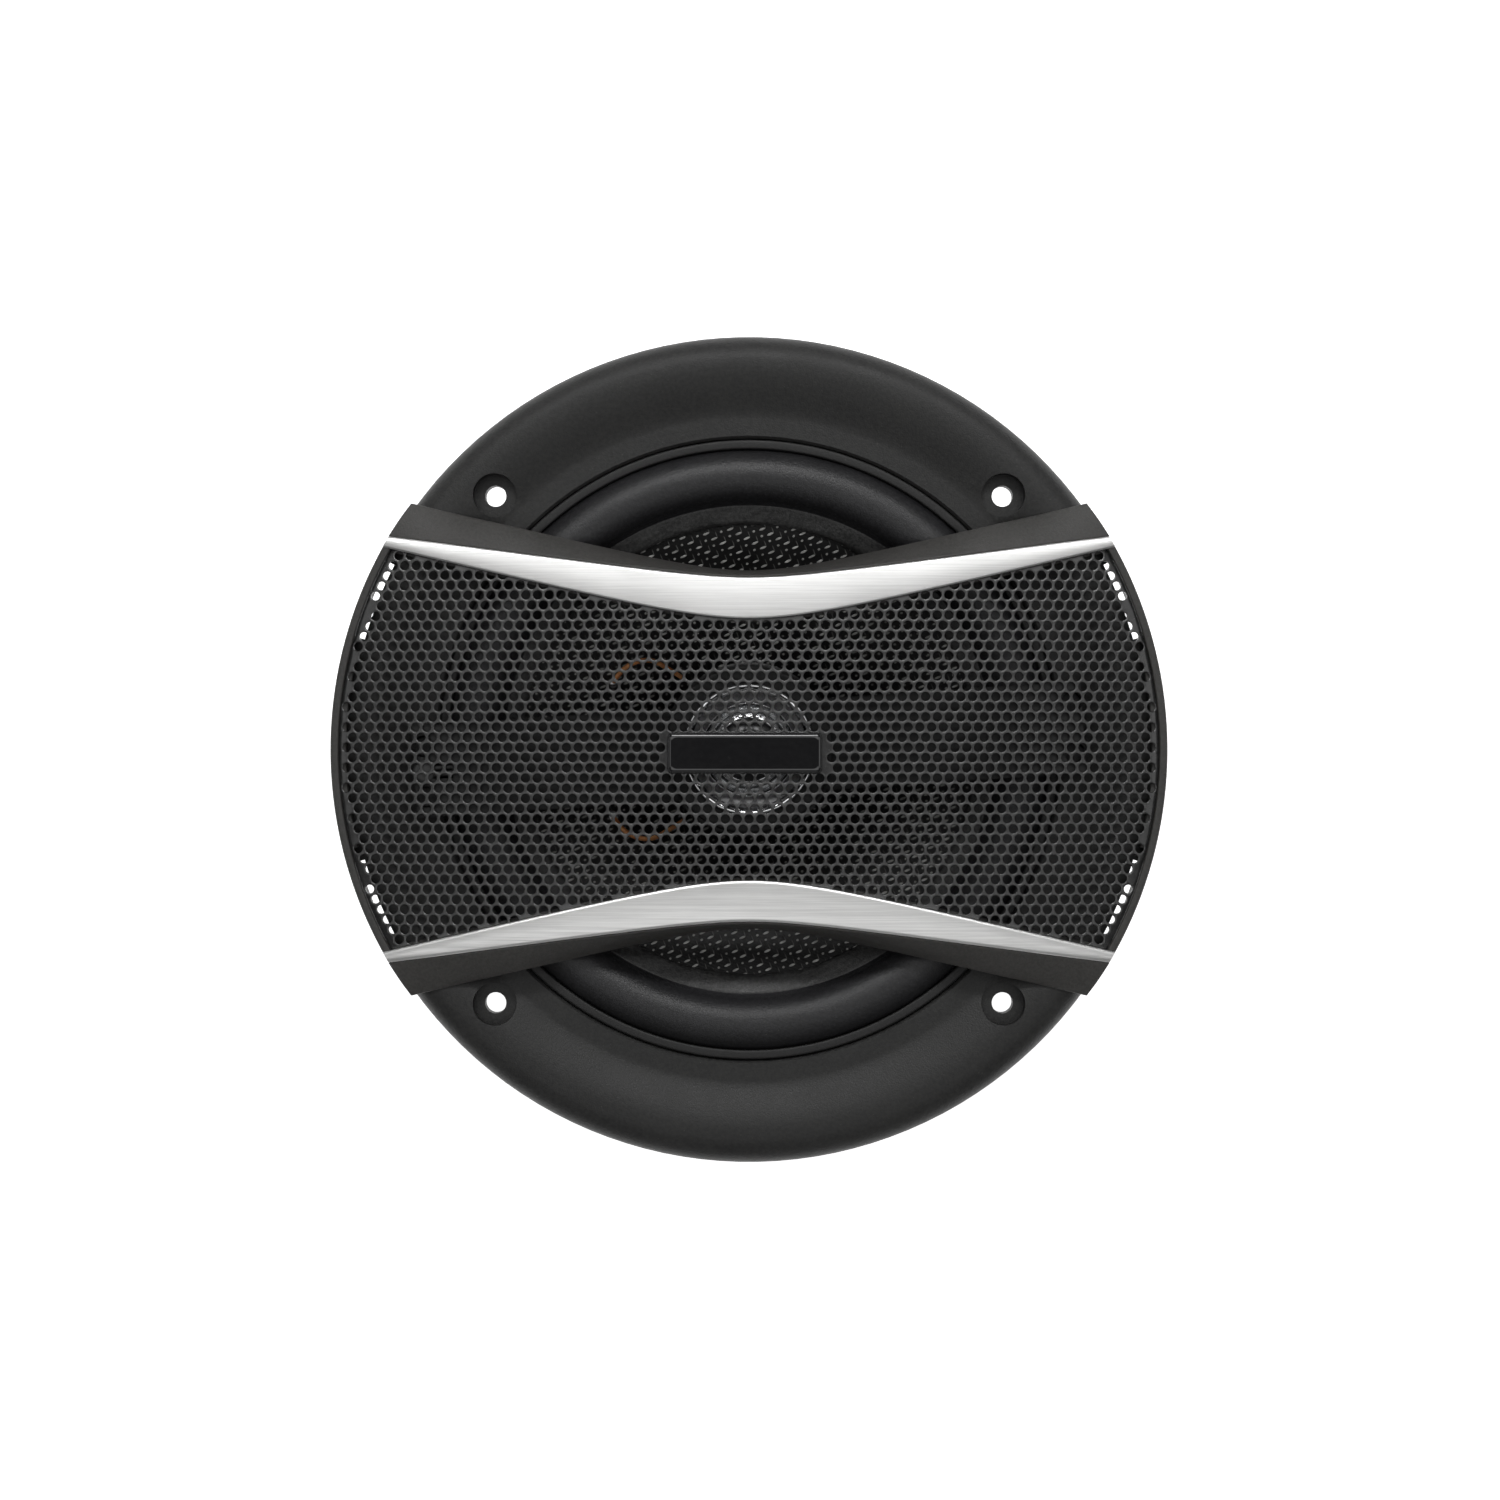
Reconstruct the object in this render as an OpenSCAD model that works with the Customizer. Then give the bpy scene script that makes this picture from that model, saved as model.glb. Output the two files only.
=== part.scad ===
/* [Flange] */
// Outer diameter of the mounting flange
flange_d = 165; // [164:0.5:167]
// Height of the flange crest above its rear face
flange_h = 7; // [6.5:0.1:7.5]
// Clear bore of the flange in front of the cone
flange_bore_d = 124.2; // [124:0.1:124.6]
// Pitch circle of the mounting screws
bolt_pcd = 143; // [142:0.5:144]
// Clearance hole of one mounting screw
bolt_hole_d = 4.2; // [3.8:0.1:4.6]
// Recess for the head of one mounting screw
bolt_seat_d = 8.6; // [8:0.1:9]

/* [Grille bar] */
// Diameter on which the ends of the bar lie
grille_d = 165.8; // [165.6:0.1:166.4]
// Height of the crowned face at the middle of the bar
crown_h = 16.5; // [16.2:0.1:17.5]
// Half width of the bar at its foot, at the waist
waist_foot = 35.4; // [35:0.1:36]
// Half width to the outer edge of a bright trim, at the waist
waist_outer = 33.7; // [33:0.1:34]
// Half width to the inner edge of a bright trim, at the waist
waist_inner = 25.6; // [24:0.1:27]

/* [Cone and surround] */
// Outer radius of the cone
cone_r = 48.9; // [48.6:0.1:49.2]
// Free travel of the cone each way
cone_travel = 3; // [2:0.5:3]
// Radius at the crest of the surround's roll
roll_r = 54.65; // [54.5:0.05:54.8]
// Height of the roll above its lips
roll_h = 4.8; // [4:0.1:5]

/* [Motor] */
// Outer diameter of the voice coil's former
former_d = 25.3; // [25.1:0.1:25.4]
// Outer diameter of the ferrite ring
magnet_d = 76; // [74:1:80]
// Thickness of the ferrite ring
magnet_h = 13; // [12:1:15]
// Diameter of the two steel plates
plate_d = 72; // [70:1:73]

/* [Tweeter] */
// Diameter of the tweeter's housing
tweeter_d = 33.2; // [32:0.2:34]
// Turn of the tweeter's bridge about the axis
bridge_turn = 3.9; // [0:0.1:6]

/* [Hidden] */
$fn = 96;
gap = 0.02;  // glue line between parts that are bonded face to face

// Flange: the front face runs from a low ledge over a crest to the rim
flange_r = flange_d / 2;
bore_r = flange_bore_d / 2;
ledge_r = 66;
ledge_z = 4;
crest_r = 76.5;
edge_z = 2.4;
wall = 2;
rim_recess_r = 66.7;
bolt_r = bolt_pcd / 2;
bolt_seat_z = 3.5;
notch_r = 79.4;
notch_angles = [16, 27.5];

// Grille bar: a bow-tie outline on a shallow crowned face
grille_r = grille_d / 2;
side_wall = 1.6;
corner_r = grille_r - side_wall;
crown_edge_z = 9;
crown_k = (crown_h - crown_edge_z) / pow(corner_r, 2);
hang_z = 9.6;       // lowest edge of the bar where it crosses the cone
mesh_drop = 0.72;   // face of the perforated sheet below the crowned face
mesh_t = 0.6;
trim_t = 0.7;
badge_l = 30.2;
badge_w = 8.1;

// Basket: pressed sheet with six spokes
sheet = 1.2;
rim_top = 2;
shelf_z = -16.8;    // seat of the spider
floor_z = -24.8;    // inner floor of the cup
cup_r = 30.4;
shelf_r = 36.9;
slope_r = 57.6;
rim_r = 66.5;
spokes = 6;
spoke_w = 12;
window_r = [39.8, 55.8];

// Moving parts
neck_z = -16.5;
cone_rim_z = 1.1;
cone_t = 0.6;
cone_neck_r = former_d / 2 + 0.05;
lip_r = 45.4;
roll_half = 5.15;
roll_t = 0.6;
cap_r = 17;
former_top = -15.2;
former_end = -34.4;
coil_h = 10;

// Motor
top_plate_z = floor_z - sheet;
top_plate_h = 5;
gap_z = top_plate_z - top_plate_h / 2;
magnet_z = top_plate_z - top_plate_h;
back_z = magnet_z - magnet_h;
back_h = 5;
pole_r = 12;
plate_bore_r = 13.6;

// Tweeter
bridge_w = 18.1;
bridge_top = 12;
bridge_under = 9.6;
foot_r = [62.4, 66.2];
foot_screw_z = 6;
screw_across = 5;
tweeter_r = tweeter_d / 2;
body_r = 14;
bezel_r = [12.2, 13];
clamp_r = [8.7, 9.2];
dome_r = 6.9;

// Terminals
tab_z = -11;
tab_y = 8.5;
tab_x = [-62.5, -47.5];
board_x = [-53, -51];
board_z = [-16.5, -6.3];

// Soft step from 0 to 1
function ease(t) = t * t * (3 - 2 * t);
function unit(t) = min(1, max(0, t));
// Height of the flange's front face at a radius
function flange_z(r) = r < crest_r
    ? ledge_z + (flange_h - ledge_z) * ease(pow(unit((r - ledge_r) / (crest_r - ledge_r)), 0.8))
    : edge_z + (flange_h - edge_z) * sqrt(1 - pow(unit((r - crest_r) / (flange_r - crest_r)), 2));
// Half width of the bar: flat at the waist, then straight
function flare(x, slope, round) = slope * (sqrt(x * x + round * round) - round);
function foot_y(x) = waist_foot + flare(x, 0.24, 12);
function outer_y(x) = waist_outer + flare(x, 0.14, 12);
function inner_y(x) = waist_inner + flare(x, 0.245, 15);
// Height of the crowned face
function crown(x, y) = crown_h - crown_k * (x * x + y * y);
// Lowest edge of the bar: clear of the roll, then down on the flange
function foot_z(r) = r < bore_r - 1 ? hang_z
    : flange_z(min(r, flange_r - 0.2)) + 0.1;
// Face of the cone: steep at the neck, flatter at the rim
function cone_z(r) = neck_z + (cone_rim_z - neck_z)
    * pow(unit((r - cone_neck_r) / (cone_r - cone_neck_r)), 0.85);
function steps(a, b, n) = [for (i = [0:n]) a + (b - a) * i / n];
function polar(r, a) = [r * cos(a), r * sin(a)];

// Solid through a list of rings that all have the same number of points, each clockwise
// as seen from the ring after it
module loft(rings) {
    n = len(rings[0]);
    last = (len(rings) - 1) * n;
    sides = [for (i = [0:len(rings) - 2], j = [0:n - 1])
        let (a = i * n + j, b = i * n + (j + 1) % n)
        each [[a, b, b + n], [a, b + n, a + n]]];
    start = [for (j = [n - 1:-1:0]) j];
    end = [for (j = [0:n - 1]) last + j];
    polyhedron([for (ring = rings) each ring], concat(sides, [start, end]));
}

// Round wire through a list of points
module wire(path, r, sides = 8) {
    last = len(path) - 1;
    function along(i) = let (d = path[min(i + 1, last)] - path[max(i - 1, 0)]) d / norm(d);
    loft([for (i = [0:last])
        let (t = along(i), u = cross(t, abs(t.z) > 0.9 ? [1, 0, 0] : [0, 0, 1]),
            side = u / norm(u), up = cross(side, t))
        [for (k = [0:sides - 1])
            path[i] + r * (cos(360 * k / sides) * side + sin(360 * k / sides) * up)]]);
}

// Smooth curve through hand-set points, n steps between each two
function spline(p, n = 4) = [for (i = [0:len(p) - 2], k = [0:n - (i < len(p) - 2 ? 1 : 0)])
    let (t = k / n, a = p[max(i - 1, 0)], b = p[i], c = p[i + 1], d = p[min(i + 2, len(p) - 1)])
    0.5 * (2 * b + t * (c - a) + t * t * (2 * a - 5 * b + 4 * c - d)
        + t * t * t * (3 * b - a - 3 * c + d))];

module tube(r_out, r_in, z0, z1) {
    translate([0, 0, z0]) difference() {
        cylinder(r = r_out, h = z1 - z0);
        translate([0, 0, -1]) cylinder(r = r_in, h = z1 - z0 + 2);
    }
}

module at_angles(count, r, first = 0) {
    for (i = [0:count - 1]) rotate(first + 360 * i / count) translate([r, 0, 0]) children();
}

module sector(r0, r1, a0, a1, z0, z1) {
    translate([0, 0, z0]) linear_extrude(z1 - z0)
        polygon(concat([for (a = steps(a0, a1, 12)) polar(r1, a)],
            [for (a = steps(a1, a0, 12)) polar(r0, a)]));
}

// Four places by mirror symmetry about both axes
module four_ways() {
    for (mx = [0, 1], my = [0, 1]) mirror([mx, 0, 0]) mirror([0, my, 0]) children();
}

module flange_section() {
    polygon(concat(
        [[bore_r, 0], [flange_r, 0]],
        [for (a = steps(0, 90, 9)) [crest_r + (flange_r - crest_r) * cos(a),
            edge_z + (flange_h - edge_z) * sin(a)]],
        [for (r = steps(crest_r - 1, ledge_r, 10)) [r, flange_z(r)]],
        [[bore_r + 0.5, ledge_z], [bore_r, ledge_z - 0.5]]));
}

// Rear channel, left open between the screw bosses and the ribs
module flange_channel() {
    inner = rim_recess_r + wall;
    outer = flange_r - wall;
    difference() {
        rotate_extrude() polygon(concat([[inner, -1], [outer, -1]],
            [for (r = steps(outer, inner, 8)) [r, flange_z(r) - wall]]));
        at_angles(4, bolt_r, 45) translate([0, 0, -2]) cylinder(d = bolt_seat_d + 4, h = flange_h);
        for (i = [0:15]) rotate(11.25 + 22.5 * i)
            translate([inner - 2, -0.8, -2]) cube([outer - inner + 4, 1.6, flange_h + 2]);
    }
}

module flange_ring() {
    color("#26272a") difference() {
        rotate_extrude() flange_section();
        flange_channel();
        translate([0, 0, -1]) cylinder(r = rim_recess_r, h = rim_top + 1);
        at_angles(4, bolt_r, 45) {
            translate([0, 0, -1]) cylinder(d = bolt_hole_d, h = flange_h + 2);
            translate([0, 0, bolt_seat_z]) cylinder(d = bolt_seat_d, h = flange_h);
        }
        four_ways() sector(notch_r, flange_r + 2, notch_angles[0], notch_angles[1], -1, flange_h + 1);
        for (turn = [0, 180]) rotate(turn) {
            sector(corner_r - 0.2, flange_r + 2, -30, 30, -1, flange_h + 1);
            for (a = [-8, 8]) rotate(a) translate([corner_r - 1.4, -3.3, -1]) cube([4, 6.6, 2.8]);
        }
        at_angles(spokes, 64.4, 30) cylinder(r = 0.9, h = 3.2);
        bridge_places() cylinder(r = 1, h = 5);
        rotate(180 + bridge_turn) translate([64.2, 0, 0]) cylinder(r = 1.65, h = 6);
    }
}

// Stations along the bar, closer together towards its ends
bar_x = concat(steps(-78, -60, 6), steps(-56, 56, 24), steps(60, 78, 6));
// One cross-section of the frame: sloped outer wall, shelf for the trim and the sheet
function frame_ring(x) =
    let (b = foot_y(x), o = outer_y(x), i = inner_y(x),
        zb = foot_z(norm([x, b])), zo = crown(x, o), seat = mesh_drop + mesh_t + 0.1)
    [[x, b, zb], [x, o + 0.3, zo + 0.05], [x, o + gap, zo + 0.05], [x, o + gap, zo - trim_t],
        [x, i + 1.2, crown(x, i + 1.2) - trim_t], [x, i + 1.2, crown(x, i + 1.2) - seat],
        [x, i - 0.6, crown(x, i - 0.6) - seat], [x, i - 0.6, crown(x, i - 0.6) - 2.6],
        [x, o - 1.6, zo - 2.6], [x, b - 2, zb]];

// Room for the flange under the frame, 0.1 clear of its front face
module over_flange() {
    rotate_extrude() polygon(concat(
        [[bore_r - 0.1, -1], [flange_r + 2, -1], [flange_r + 2, edge_z]],
        [for (a = steps(0, 90, 9)) [crest_r + (flange_r + 0.12 - crest_r) * cos(a),
            edge_z + (flange_h + 0.12 - edge_z) * sin(a)]],
        [for (r = steps(crest_r - 1, ledge_r, 10)) [r, flange_z(r) + 0.12]],
        [[bore_r - 0.1, ledge_z + 0.12]]));
}

module grille_frame() {
    color("#1d1e20") {
        intersection() {
            union() {
                difference() {
                    for (m = [0, 1]) mirror([0, m, 0]) loft([for (x = bar_x) frame_ring(-x)]);
                    over_flange();
                }
                for (m = [0, 1]) mirror([m, 0, 0]) frame_end();
            }
            cylinder(r = grille_r, h = 30);
        }
    }
}

// Curved wall that closes one end of the bar, with a ledge for the sheet and two hooks
module frame_end() {
    reach = 39.7;  // short of the trims' ends
    difference() {
        translate([corner_r - 14, -reach, 0.6]) cube([20, 2 * reach, crown_edge_z - 0.7]);
        translate([0, 0, -1]) cylinder(r = corner_r, h = 30);
    }
    rotate(-14) rotate_extrude(angle = 28) translate([corner_r - 1.4, 6.3]) square([1.9, 1.2]);
    for (a = [-8, 8]) rotate(a) translate([corner_r - 1.1, -3, 0.6]) cube([1.9, 6, 1]);
}

// Plain blank of the perforated sheet, bowed to the crown
function sheet_ring(x) =
    let (half = min(inner_y(x) + 1.1, sqrt(max(0.01, pow(corner_r - 0.1, 2) - x * x))),
        across = steps(-half, half, 16), top = -mesh_drop, under = -mesh_drop - mesh_t)
    concat([for (y = across) [x, y, crown(x, y) + top]],
        [for (k = [16:-1:0]) [x, across[k], crown(x, across[k]) + under]]);

module grille_mesh() {
    r = corner_r - 0.1;
    color("#38393b") loft([for (x = concat([for (a = steps(4, 29, 6)) -r * cos(a)],
        steps(-68, 68, 34), [for (a = steps(29, 4, 6)) r * cos(a)])) sheet_ring(x)]);
}

function trim_ring(x) =
    let (o = outer_y(x), i = inner_y(x), zo = crown(x, o), zi = crown(x, i))
    [[x, o, zo - trim_t + gap], [x, o, zo + 0.25], [x, o - 0.5, zo + 0.45],
        [x, i + 0.5, crown(x, i + 0.5) + 0.45], [x, i, zi + 0.2], [x, i, zi - trim_t + gap]];

module upper_trim() {
    color("silver") intersection() {
        loft([for (x = bar_x) trim_ring(-x)]);
        cylinder(r = grille_r - 0.1, h = 30);
    }
}

module lower_trim() {
    mirror([0, 1, 0]) upper_trim();
}

// Rounded rectangle as a ring of points, its corners of radius r
function rounded(l, w, r, z, n = 6) = [for (q = [0:3], a = steps(90 * q, 90 * q + 90, n))
    let (sx = q == 0 || q == 3 ? 1 : -1, sy = q < 2 ? 1 : -1)
    [sx * (l / 2 - r) + r * cos(a), sy * (w / 2 - r) + r * sin(a), z]];

module badge() {
    base = crown_h - mesh_drop;  // it stands on the crest of the sheet
    color("#0c0c0d") translate([-0.8, -0.7, 0]) loft([
        rounded(badge_l - 5, badge_w - 4, 0.6, base + 1.8),
        rounded(badge_l - 1.8, badge_w - 1.8, 1, base + 1.6),
        rounded(badge_l - 0.5, badge_w - 0.5, 1.65, base + 1.3),
        rounded(badge_l, badge_w, 1.9, base + 0.9),
        rounded(badge_l, badge_w, 1.9, base + 0.4),
        rounded(badge_l - 0.6, badge_w - 0.6, 1.6, base + gap)]);
}

// Window between two spokes: straight sides, round corners
module basket_window() {
    r0 = window_r[0];
    r1 = window_r[1];
    c = 3;
    half = 180 / spokes;
    // Centre of a corner circle: c clear of the spoke's side and of the ring
    function corner(r) = let (y = spoke_w / 2 + c) [sqrt(r * r - y * y), y];
    function turned(p, a) = [p.x * cos(a) - p.y * sin(a), p.x * sin(a) + p.y * cos(a)];
    low = turned(corner(r0 + c), -half);
    high = turned(corner(r1 - c), -half);
    a_low = atan2(low.y, low.x);
    a_high = atan2(high.y, high.x);
    lower_half = concat(
        [for (a = steps(0, a_low, 5)) polar(r0, a)],
        [for (a = steps(180 + a_low, 270 - half, 4)) low + polar(c, a)],
        [for (a = steps(270 - half, 360 + a_high, 4)) high + polar(c, a)],
        [for (a = steps(a_high, 0, 6)) polar(r1, a)]);
    upper_half = [for (k = [len(lower_half) - 2:-1:1]) [lower_half[k].x, -lower_half[k].y]];
    polygon(concat(lower_half, upper_half));
}

module basket() {
    rise = (rim_top - shelf_z) / (slope_r - shelf_r);
    drop = sheet * sqrt(1 + rise * rise);       // sheet thickness measured along Z on the slope
    color("#1a1b1d") difference() {
        union() {
            rotate_extrude() polygon([[rim_r, rim_top], [slope_r, rim_top], [shelf_r, shelf_z],
                [cup_r, shelf_z], [cup_r, floor_z], [14.6, floor_z], [14.6, floor_z - sheet],
                [cup_r + sheet, floor_z - sheet], [cup_r + sheet, shelf_z - sheet],
                [shelf_r + (drop - sheet) / rise, shelf_z - sheet],
                [slope_r + (drop - sheet) / rise, rim_top - sheet], [rim_r, rim_top - sheet]]);
            translate([board_x[1], -5.5, board_z[0] + 2.5]) cube([sheet, 11, 8.6]);
        }
        at_angles(spokes, 0, 180 / spokes)
            translate([0, 0, shelf_z - 1]) linear_extrude(rim_top - shelf_z + 0.6) basket_window();
        at_angles(spokes, 0, 180 / spokes) translate([cup_r - 2, 0, floor_z + 3.6])
            rotate([0, 90, 0]) cylinder(r = 2, h = 5);
        at_angles(spokes, 64.4, 30) cylinder(r = 1.1, h = 5);
        at_angles(4, 24, 45) translate([0, 0, floor_z - 2]) cylinder(r = 1.5, h = 4);
        rotate(180 + bridge_turn) translate([64.2, 0, 0]) cylinder(r = 1.65, h = 6);
        rivet_places() cylinder(r = 1, h = 6, center = true);
    }
}

module basket_screws() {
    color("#8b8d90") at_angles(spokes, 64.4, 30) {
        cylinder(r = 1.9, h = 0.8);
        cylinder(r = 0.9, h = 3);
    }
}

module surround_gasket() {
    color("#333436") rotate_extrude() polygon([[59.95, 2.62], [61.75, 2.62], [61.75, 4.1],
        [61.5, 4.4], [60.2, 4.4], [59.95, 4.1]]);
}

module surround() {
    base = 2.4;
    function arc(rx, rz, a0, a1) = [for (a = steps(a0, a1, 18))
        [roll_r + rx * cos(a), base + rz * sin(a)]];
    lips = steps(cone_r - 0.2, lip_r, 4);
    color("#232427") rotate_extrude() polygon(concat(
        [[61.75, rim_top + gap], [61.75, 2.6]],
        arc(roll_half, roll_h, 0, 180),
        [for (r = lips) [r, cone_z(r) + cone_t + 0.6]],
        [for (k = [4:-1:0]) [lips[k], cone_z(lips[k]) + cone_t + gap]],
        arc(roll_half - roll_t, roll_h - roll_t, 180, 0)));
}

module cone() {
    stations = [for (r = steps(cone_neck_r, cone_r, 16)) r];
    color("#151517") difference() {
        rotate_extrude() polygon(concat([for (r = stations) [r, cone_z(r)]],
            [for (k = [16:-1:0]) [stations[k], cone_z(stations[k]) + cone_t]]));
        for (m = [0, 1]) mirror([0, m, 0]) translate([-27.6, 13.6, -20]) cylinder(r = 0.9, h = 20);
    }
}

module dust_cap() {
    base = cone_z(cap_r) + cone_t + gap;
    rings = steps(0, cap_r, 10);
    function dome(r) = base + 5 * (1 - pow(r / cap_r, 2));
    color("#1b1b1d") rotate_extrude() polygon(concat(
        [for (r = rings) [r, dome(r) + 0.5]], [[cap_r, base]],
        [for (k = [9:-1:0]) [rings[k], dome(rings[k])]]));
}

module spider() {
    inner = former_d / 2 + 0.05;
    waves = steps(inner + 1.6, cup_r + 0.4, 40);
    function level(r) = 1.1 * sin(360 * 4.5 * (r - waves[0]) / (waves[40] - waves[0]));
    z = shelf_z + gap;
    color("#b9923f") rotate_extrude() polygon(concat(
        [[inner, z + 0.2]], [for (r = waves) [r, z + 0.5 + level(r)]], [[33.6, z + 0.5], [33.6, z]],
        [for (k = [40:-1:0]) [waves[k], z + level(waves[k])]], [[inner, z]]));
}

module voice_coil_former() {
    color("#c9a66b") tube(former_d / 2, former_d / 2 - 0.25, former_end, former_top);
}

module voice_coil() {
    color("#b4642d") tube(former_d / 2 + 0.45, former_d / 2, gap_z - coil_h / 2, gap_z + coil_h / 2);
}

// Wire from the dust cap's edge to its eyelet, lying just above the cone
coil_lead_points = [[-13.2, 14.4, 0], [-16.4, 16.4, 0], [-19.6, 18, 0], [-22.6, 17.8, 0],
    [-25.2, 16.4, 0], [-27.6, 13.6, 0]];
function on_cone(p, lift) = [p.x, p.y, cone_z(norm([p.x, p.y])) + cone_t + lift];
coil_lead_lifts = [0.75, 1.2, 1.8, 1.9, 1.5, 0.8];
module upper_coil_lead() {
    last = len(coil_lead_points) - 1;
    color("#c07a46") wire(spline([for (i = [0:last])
        on_cone(coil_lead_points[i], coil_lead_lifts[i])], 5), 0.5);
}

module lower_coil_lead() {
    mirror([0, 1, 0]) upper_coil_lead();
}

module lead_eyelets() {
    top = cone_z(norm([27.6, 13.6])) + cone_t;
    color("#c9a24d") for (m = [0, 1]) mirror([0, m, 0]) translate([-27.6, 13.6, 0]) {
        translate([0, 0, top - 3.4]) cylinder(r = 0.85, h = 3.2);
        translate([0, 0, top - 2.6]) cylinder(r = 1.5, h = 0.5);
    }
}

tinsel_points = [[-27.6, 13.6, -10.6], [-28.9, 13.6, -12.4], [-32.4, 13.3, -13.4],
    [-37, 12.5, -12.9], [-41.8, 11.3, -11.9], [-46, 9.6, -11.1]];
module upper_tinsel_lead() {
    color("#c08b52") wire(spline(tinsel_points, 4), 0.6);
}

module lower_tinsel_lead() {
    mirror([0, 1, 0]) upper_tinsel_lead();
}

module top_plate() {
    color("#c4c6c8") difference() {
        rotate_extrude() plate_section(plate_d / 2, plate_bore_r, magnet_z, top_plate_z);
        at_angles(4, 24, 45) translate([0, 0, magnet_z - 1]) cylinder(r = 1.5, h = top_plate_h + 2);
    }
}

// Turned plate with a chamfer on its outer edges
module plate_section(r_out, r_in, z0, z1, c = 0.6) {
    polygon([[r_in, z0], [r_out - c, z0], [r_out, z0 + c], [r_out, z1 - c], [r_out - c, z1], [r_in, z1]]);
}

module magnet() {
    color("#3b3c3f") rotate_extrude() plate_section(magnet_d / 2, 18, back_z, magnet_z, 1);
}

module back_plate() {
    color("#c4c6c8") rotate_extrude() polygon([[0, back_z - back_h + 1], [6, back_z - back_h + 1],
        [7.5, back_z - back_h], [plate_d / 2 - 0.8, back_z - back_h], [plate_d / 2, back_z - back_h + 0.8],
        [plate_d / 2, back_z - 0.8], [plate_d / 2 - 0.8, back_z], [pole_r + 1.4, back_z],
        [pole_r, back_z + 1.4], [pole_r, top_plate_z - 0.8], [pole_r - 0.8, top_plate_z], [0, top_plate_z]]);
}

module basket_rivets() {
    color("#9a9c9f") at_angles(4, 24, 45) {
        translate([0, 0, magnet_z]) cylinder(r = 1.5, h = top_plate_h + sheet);
        translate([0, 0, floor_z]) cylinder(r = 2.6, h = 0.9);
    }
}

module terminal_board() {
    color("#5a4632") difference() {
        translate([board_x[0], -14, board_z[0]]) cube([board_x[1] - board_x[0], 28, board_z[1] - board_z[0]]);
        rivet_places() cylinder(r = 1, h = 9, center = true);
        for (m = [-1, 1]) translate([board_x[0] - 1, m * tab_y - tab_width(m) / 2, tab_z])
            cube([4, tab_width(m), 0.8]);
    }
}

module rivet_places() {
    for (y = [-3.8, 3.8]) translate([board_x[1], y, -8.6]) rotate([0, 90, 0]) children();
}

module terminal_rivets() {
    color("#9a9c9f") rivet_places() {
        translate([0, 0, -2.7]) cylinder(r = 1.8, h = 0.7);
        translate([0, 0, -2.7]) cylinder(r = 1, h = 4.4);
        translate([0, 0, sheet]) cylinder(r = 1.6, h = 0.6);
    }
}

// The positive tab is the wide one
function tab_width(side) = side > 0 ? 4.8 : 2.8;
module spade(side) {
    w = tab_width(side);
    color("#c8b36a") translate([0, side * tab_y, tab_z]) difference() {
        linear_extrude(0.8) polygon([[tab_x[0], -w / 2 + 0.7], [tab_x[0] + 1.2, -w / 2], [tab_x[1], -w / 2],
            [tab_x[1], w / 2], [tab_x[0] + 1.2, w / 2], [tab_x[0], w / 2 - 0.7]]);
        translate([tab_x[0] + 4.2, 0, -1]) cylinder(r = 0.75, h = 3);
    }
}

module positive_terminal() {
    spade(1);
}

module negative_terminal() {
    spade(-1);
}

module crossover_capacitor() {
    r = 2.6;
    at = [board_x[0] - r - gap, 0, board_z[0] + r + 1];
    color("#2b3a66") translate(at) rotate([90, 0, 0]) rotate_extrude()
        polygon([[0, -5], [r - 0.4, -5], [r, -4.6], [r, 3.9], [r - 0.35, 4.1], [r - 0.35, 4.4],
            [r, 4.6], [r - 0.4, 5], [0, 5]]);
    color("#b8babd") wire([at + [0, 4.9, 0], at + [0, 6, 0], at + [0, 7, 0.6], at + [0, 7.6, 1.6],
        [at.x, tab_y - 0.3, tab_z - 0.2]], 0.3);
}

module bridge_places() {
    for (turn = [0, 180], y = [-screw_across, screw_across])
        rotate(bridge_turn + turn) translate([64.2, y, 0]) children();
}

module tweeter_bridge() {
    half = [[46, bridge_top - 0.2], [60, 10.8], [foot_r[1], 9.9], [foot_r[1], ledge_z + 0.16],
        [foot_r[0], ledge_z + 0.16], [foot_r[0], 9.3], [58, bridge_under]];
    other = [for (k = [len(half) - 1:-1:0]) [-half[k].x, half[k].y]];
    color("#141416") difference() {
        union() {
            rotate(bridge_turn) translate([0, bridge_w / 2, 0])
                rotate([90, 0, 0]) linear_extrude(bridge_w) polygon(concat(half, other));
            rotate(90) translate([0, 0, bridge_under - 0.2]) cylinder(r = tweeter_r - 0.4, h = bridge_top - bridge_under + 0.2);
        }
        translate([0, 0, bridge_under - 1]) cylinder(r = body_r + 0.1, h = 5);
        bridge_places() {
            translate([0, 0, 3]) cylinder(r = 1.1, h = 5);
            translate([0, 0, foot_screw_z]) cylinder(r = 2.1, h = 8);
        }
        // Wire channel under the arm and its way down through the foot
        rotate(180 + bridge_turn) {
            translate([10, -1.6, bridge_under - 1]) cube([54.2, 3.2, 2.3]);
            translate([64.2, 0, 3]) cylinder(r = 1.5, h = 7.4);
        }
    }
}

module bridge_screws() {
    color("#77797c") bridge_places() {
        translate([0, 0, foot_screw_z]) cylinder(r = 1.9, h = 1.3);
        translate([0, 0, rim_top + 0.2]) cylinder(r = 1, h = foot_screw_z - rim_top);
    }
}

module tweeter_housing() {
    low = 3.2;
    color("#161617") difference() {
        rotate_extrude() polygon([[0, low], [body_r - 0.8, low], [body_r, low + 0.8], [body_r, bridge_top + gap],
            [tweeter_r, bridge_top + gap], [tweeter_r, 12.6], [tweeter_r - 0.3, 12.9], [tweeter_r - 0.8, 13],
            [bezel_r[1], 13], [bezel_r[1], low + 1], [0, low + 1]]);
        rotate(180 + bridge_turn) translate([10, -1.5, 7]) cube([6, 3, 4]);
    }
}

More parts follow.
